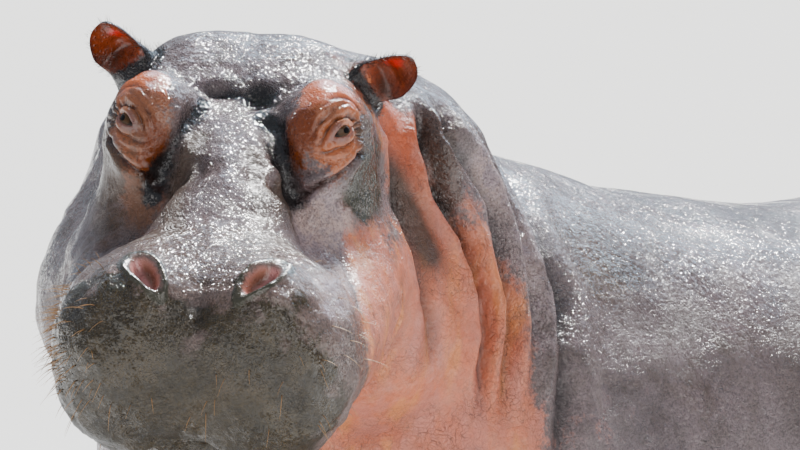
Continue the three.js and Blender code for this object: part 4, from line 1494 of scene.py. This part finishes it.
def scattered(places, normals, chance, count, jitter=.003):
    """Roots picked at random among the hide's points, as likely as chance says."""
    pick = rng.choice(len(places), count, p=chance / chance.sum())
    shift = rng.normal(0, jitter, (count, 3))
    shift -= (shift * normals[pick]).sum(1, keepdims=True) * normals[pick]
    return places[pick] + shift, normals[pick]


def leaning(normals, lean, spread):
    """Unit ways: the normals leant by a vector and a random spread."""
    return unit(normals + lean + rng.normal(0, spread, normals.shape))


def make_whiskers(hide, material):
    """Short stout bristles on the sides of the muzzle, the lips and the chin."""
    places, normals = hide_places(hide)
    q = to_head(places)
    m = mirrored(q)
    pads = patch(q, (-.185, .68, .01), (.05, .10, .06))
    pads += .12 * patch(q, (.185, .68, .00), (.05, .10, .07))
    pads += .12 * patch(m, (.09, .79, .02), (.08, .05, .05))
    pads += .30 * patch(m, (.10, .76, -.16), (.09, .06, .05))
    by_nostril = np.exp(-np.linalg.norm(m - NOSTRIL, axis=1) / .02)
    chance = pads * (1 - by_nostril) * (q[:, 1] > .5)
    roots, out = scattered(places, normals, chance, 190)
    ways = leaning(out, at_head((0, .15, -.35)) - NAPE, .22)
    lengths = rng.uniform(.012, .036, len(roots))
    droop = np.tile([0, 0, -.25], (len(roots), 1)) + rng.normal(0, .06, (len(roots), 3))
    make_bristles("whiskers", roots, ways, lengths, .0007, droop, material)


def make_ear_fringe(hide, material):
    """Fine hairs along the rims and at the roots of the ears."""
    places, normals = hide_places(hide)
    q = to_head(places)
    m = mirrored(q)
    chance, outward = np.full(len(m), 1e-12), np.zeros((len(m), 3))
    for side, ear_root, out, opening in EARS:
        x, y, z, _ = ear_frame(m, ear_root, out, opening)
        mine = q[:, 0] * side > 0
        rim = mine & (z > .02) & (z < EAR_LENGTH * 1.05) & (np.hypot(x, y) < .07)
        base = .8 * np.exp(-((z - .01) / .020) ** 2) * (np.hypot(x, y) < .055) * (z > -.02) * mine
        chance += rim * np.exp(-((np.abs(x) - .036) / .010) ** 2) + rim * 1.5 * (z > .075) + base
        outward[mine] = at_head(out * (side, 1, 1)) - NAPE
    pick = rng.choice(len(places), 900, p=chance / chance.sum())
    roots = places[pick] + rng.normal(0, .0015, (len(pick), 3))
    ways = leaning(normals[pick], .9 * outward[pick], .25)
    lengths = rng.uniform(.004, .011, len(roots))
    droop = rng.normal(0, .10, (len(roots), 3))
    make_bristles("ear_fringe", roots, ways, lengths, .00035, droop, material)


def make_tail_bristles(hide, material):
    """Stout dark bristles down both edges of the tail's lower half."""
    places, normals = hide_places(hide)
    low = (places[:, 1] > 1.12) * step(.80, .62, places[:, 2]) * (places[:, 2] > .5)
    roots, out = scattered(places, normals, low + 1e-12, 500)
    ways = leaning(.5 * out, np.array([0, .1, -1.0]), .20)
    lengths = rng.uniform(.03, .085, len(roots))
    droop = np.tile([0, 0, -.2], (len(roots), 1))
    make_bristles("tail_bristles", roots, ways, lengths, .0013, droop, material)


# ------------------------------------------------------------------ floor, light and camera
def make_floor():
    """A level sheet far wider than the view, with a faint mottle."""
    half = 150.0
    mesh = bpy.data.meshes.new("floor")
    corners = [(-half, -half, 0), (half, -half, 0), (half, half, 0), (-half, half, 0)]
    mesh.from_pydata(corners, [], [(0, 1, 2, 3)])
    floor = placed("floor", mesh)
    material, board, shader = new_material("pale_floor")
    tone = board.noise(board.place(), .6, 3.0)
    board.feed(shader.inputs["Base Color"], board.mix(tone, (.74, .75, .75), (.80, .80, .79)))
    board.feed(shader.inputs["Roughness"], board.ramp(tone, .3, .7, .75, .85))
    mesh.materials.append(material)


def make_light(name, place, aim, size, power, color):
    data = bpy.data.lights.new(name, "AREA")
    data.shape, data.size, data.energy, data.color = "DISK", size, power, color
    light = placed(name, data)
    light.location = place
    light.rotation_euler = (Vector(aim) - Vector(place)).to_track_quat("-Z", "Y").to_euler()


VIEW_TURN, VIEW_RISE = math.radians(50), math.radians(5)
VIEW_FAR, VIEW_WIDE = 12.5, 1.174           # distance, and width of what is seen there
AIM_RIGHT, AIM_DOWN = .205, .165            # from the nape to the middle of the view
SENSOR = 36.0


def make_view():
    """The camera and, placed by its axes, the lights."""
    back = np.array([math.sin(VIEW_TURN) * math.cos(VIEW_RISE), -math.cos(VIEW_TURN) * math.cos(VIEW_RISE),
                     math.sin(VIEW_RISE)])
    right = unit(np.cross(-back, (0, 0, 1)))
    up = np.cross(right, -back)
    aim = NAPE + SHIFT + right * AIM_RIGHT - up * AIM_DOWN
    data = bpy.data.cameras.new("camera")
    data.sensor_width, data.lens, data.clip_end = SENSOR, SENSOR * VIEW_FAR / VIEW_WIDE, 1000
    camera = placed("camera", data)
    camera.location = aim + back * VIEW_FAR
    camera.rotation_euler = Vector(-back).to_track_quat("-Z", "Y").to_euler()
    bpy.context.scene.camera = camera
    sun = bpy.data.lights.new("key", "SUN")
    sun.energy, sun.angle, sun.color = 10.5, math.radians(6), (1, .97, .93)
    key = placed("key", sun)
    toward = right * .20 + np.array([0, 0, .78]) - back * .56
    key.rotation_euler = Vector(toward).to_track_quat("Z", "Y").to_euler()
    for name, side, rise, near, size, power, color in (
            ("fill", 1.5, 2.4, 5.0, 4.0, 130, (1, .96, .92)),
            ("sky", 1.0, 4.6, -4.0, 6.0, 420, (.62, .80, 1))):
        spot = np.array([0, 0, .9 + rise]) + right * side + back * near
        make_light(name, spot, tuple(aim), size, power, color)
    world = bpy.data.worlds.new("studio")
    world.use_nodes = True
    world.node_tree.nodes["Background"].inputs[0].default_value = (.72, .84, 1.0, 1)
    world.node_tree.nodes["Background"].inputs[1].default_value = .52
    bpy.context.scene.world = world


def main():
    make_view()
    make_floor()
    hide = make_hide(hide_material())
    eye = eye_material()
    make_eye("eye_left", 1, eye)
    make_eye("eye_right", -1, eye)
    horn = horn_material()
    for name, x, y in LEGS:
        make_nails(name, x, y, horn)
    make_whiskers(hide, bristle_material("whisker_tan", (.26, .13, .05), (.60, .33, .13)))
    dark = bristle_material("bristle_dark", (.030, .022, .020), (.10, .07, .05))
    make_ear_fringe(hide, dark)
    make_tail_bristles(hide, dark)


main()
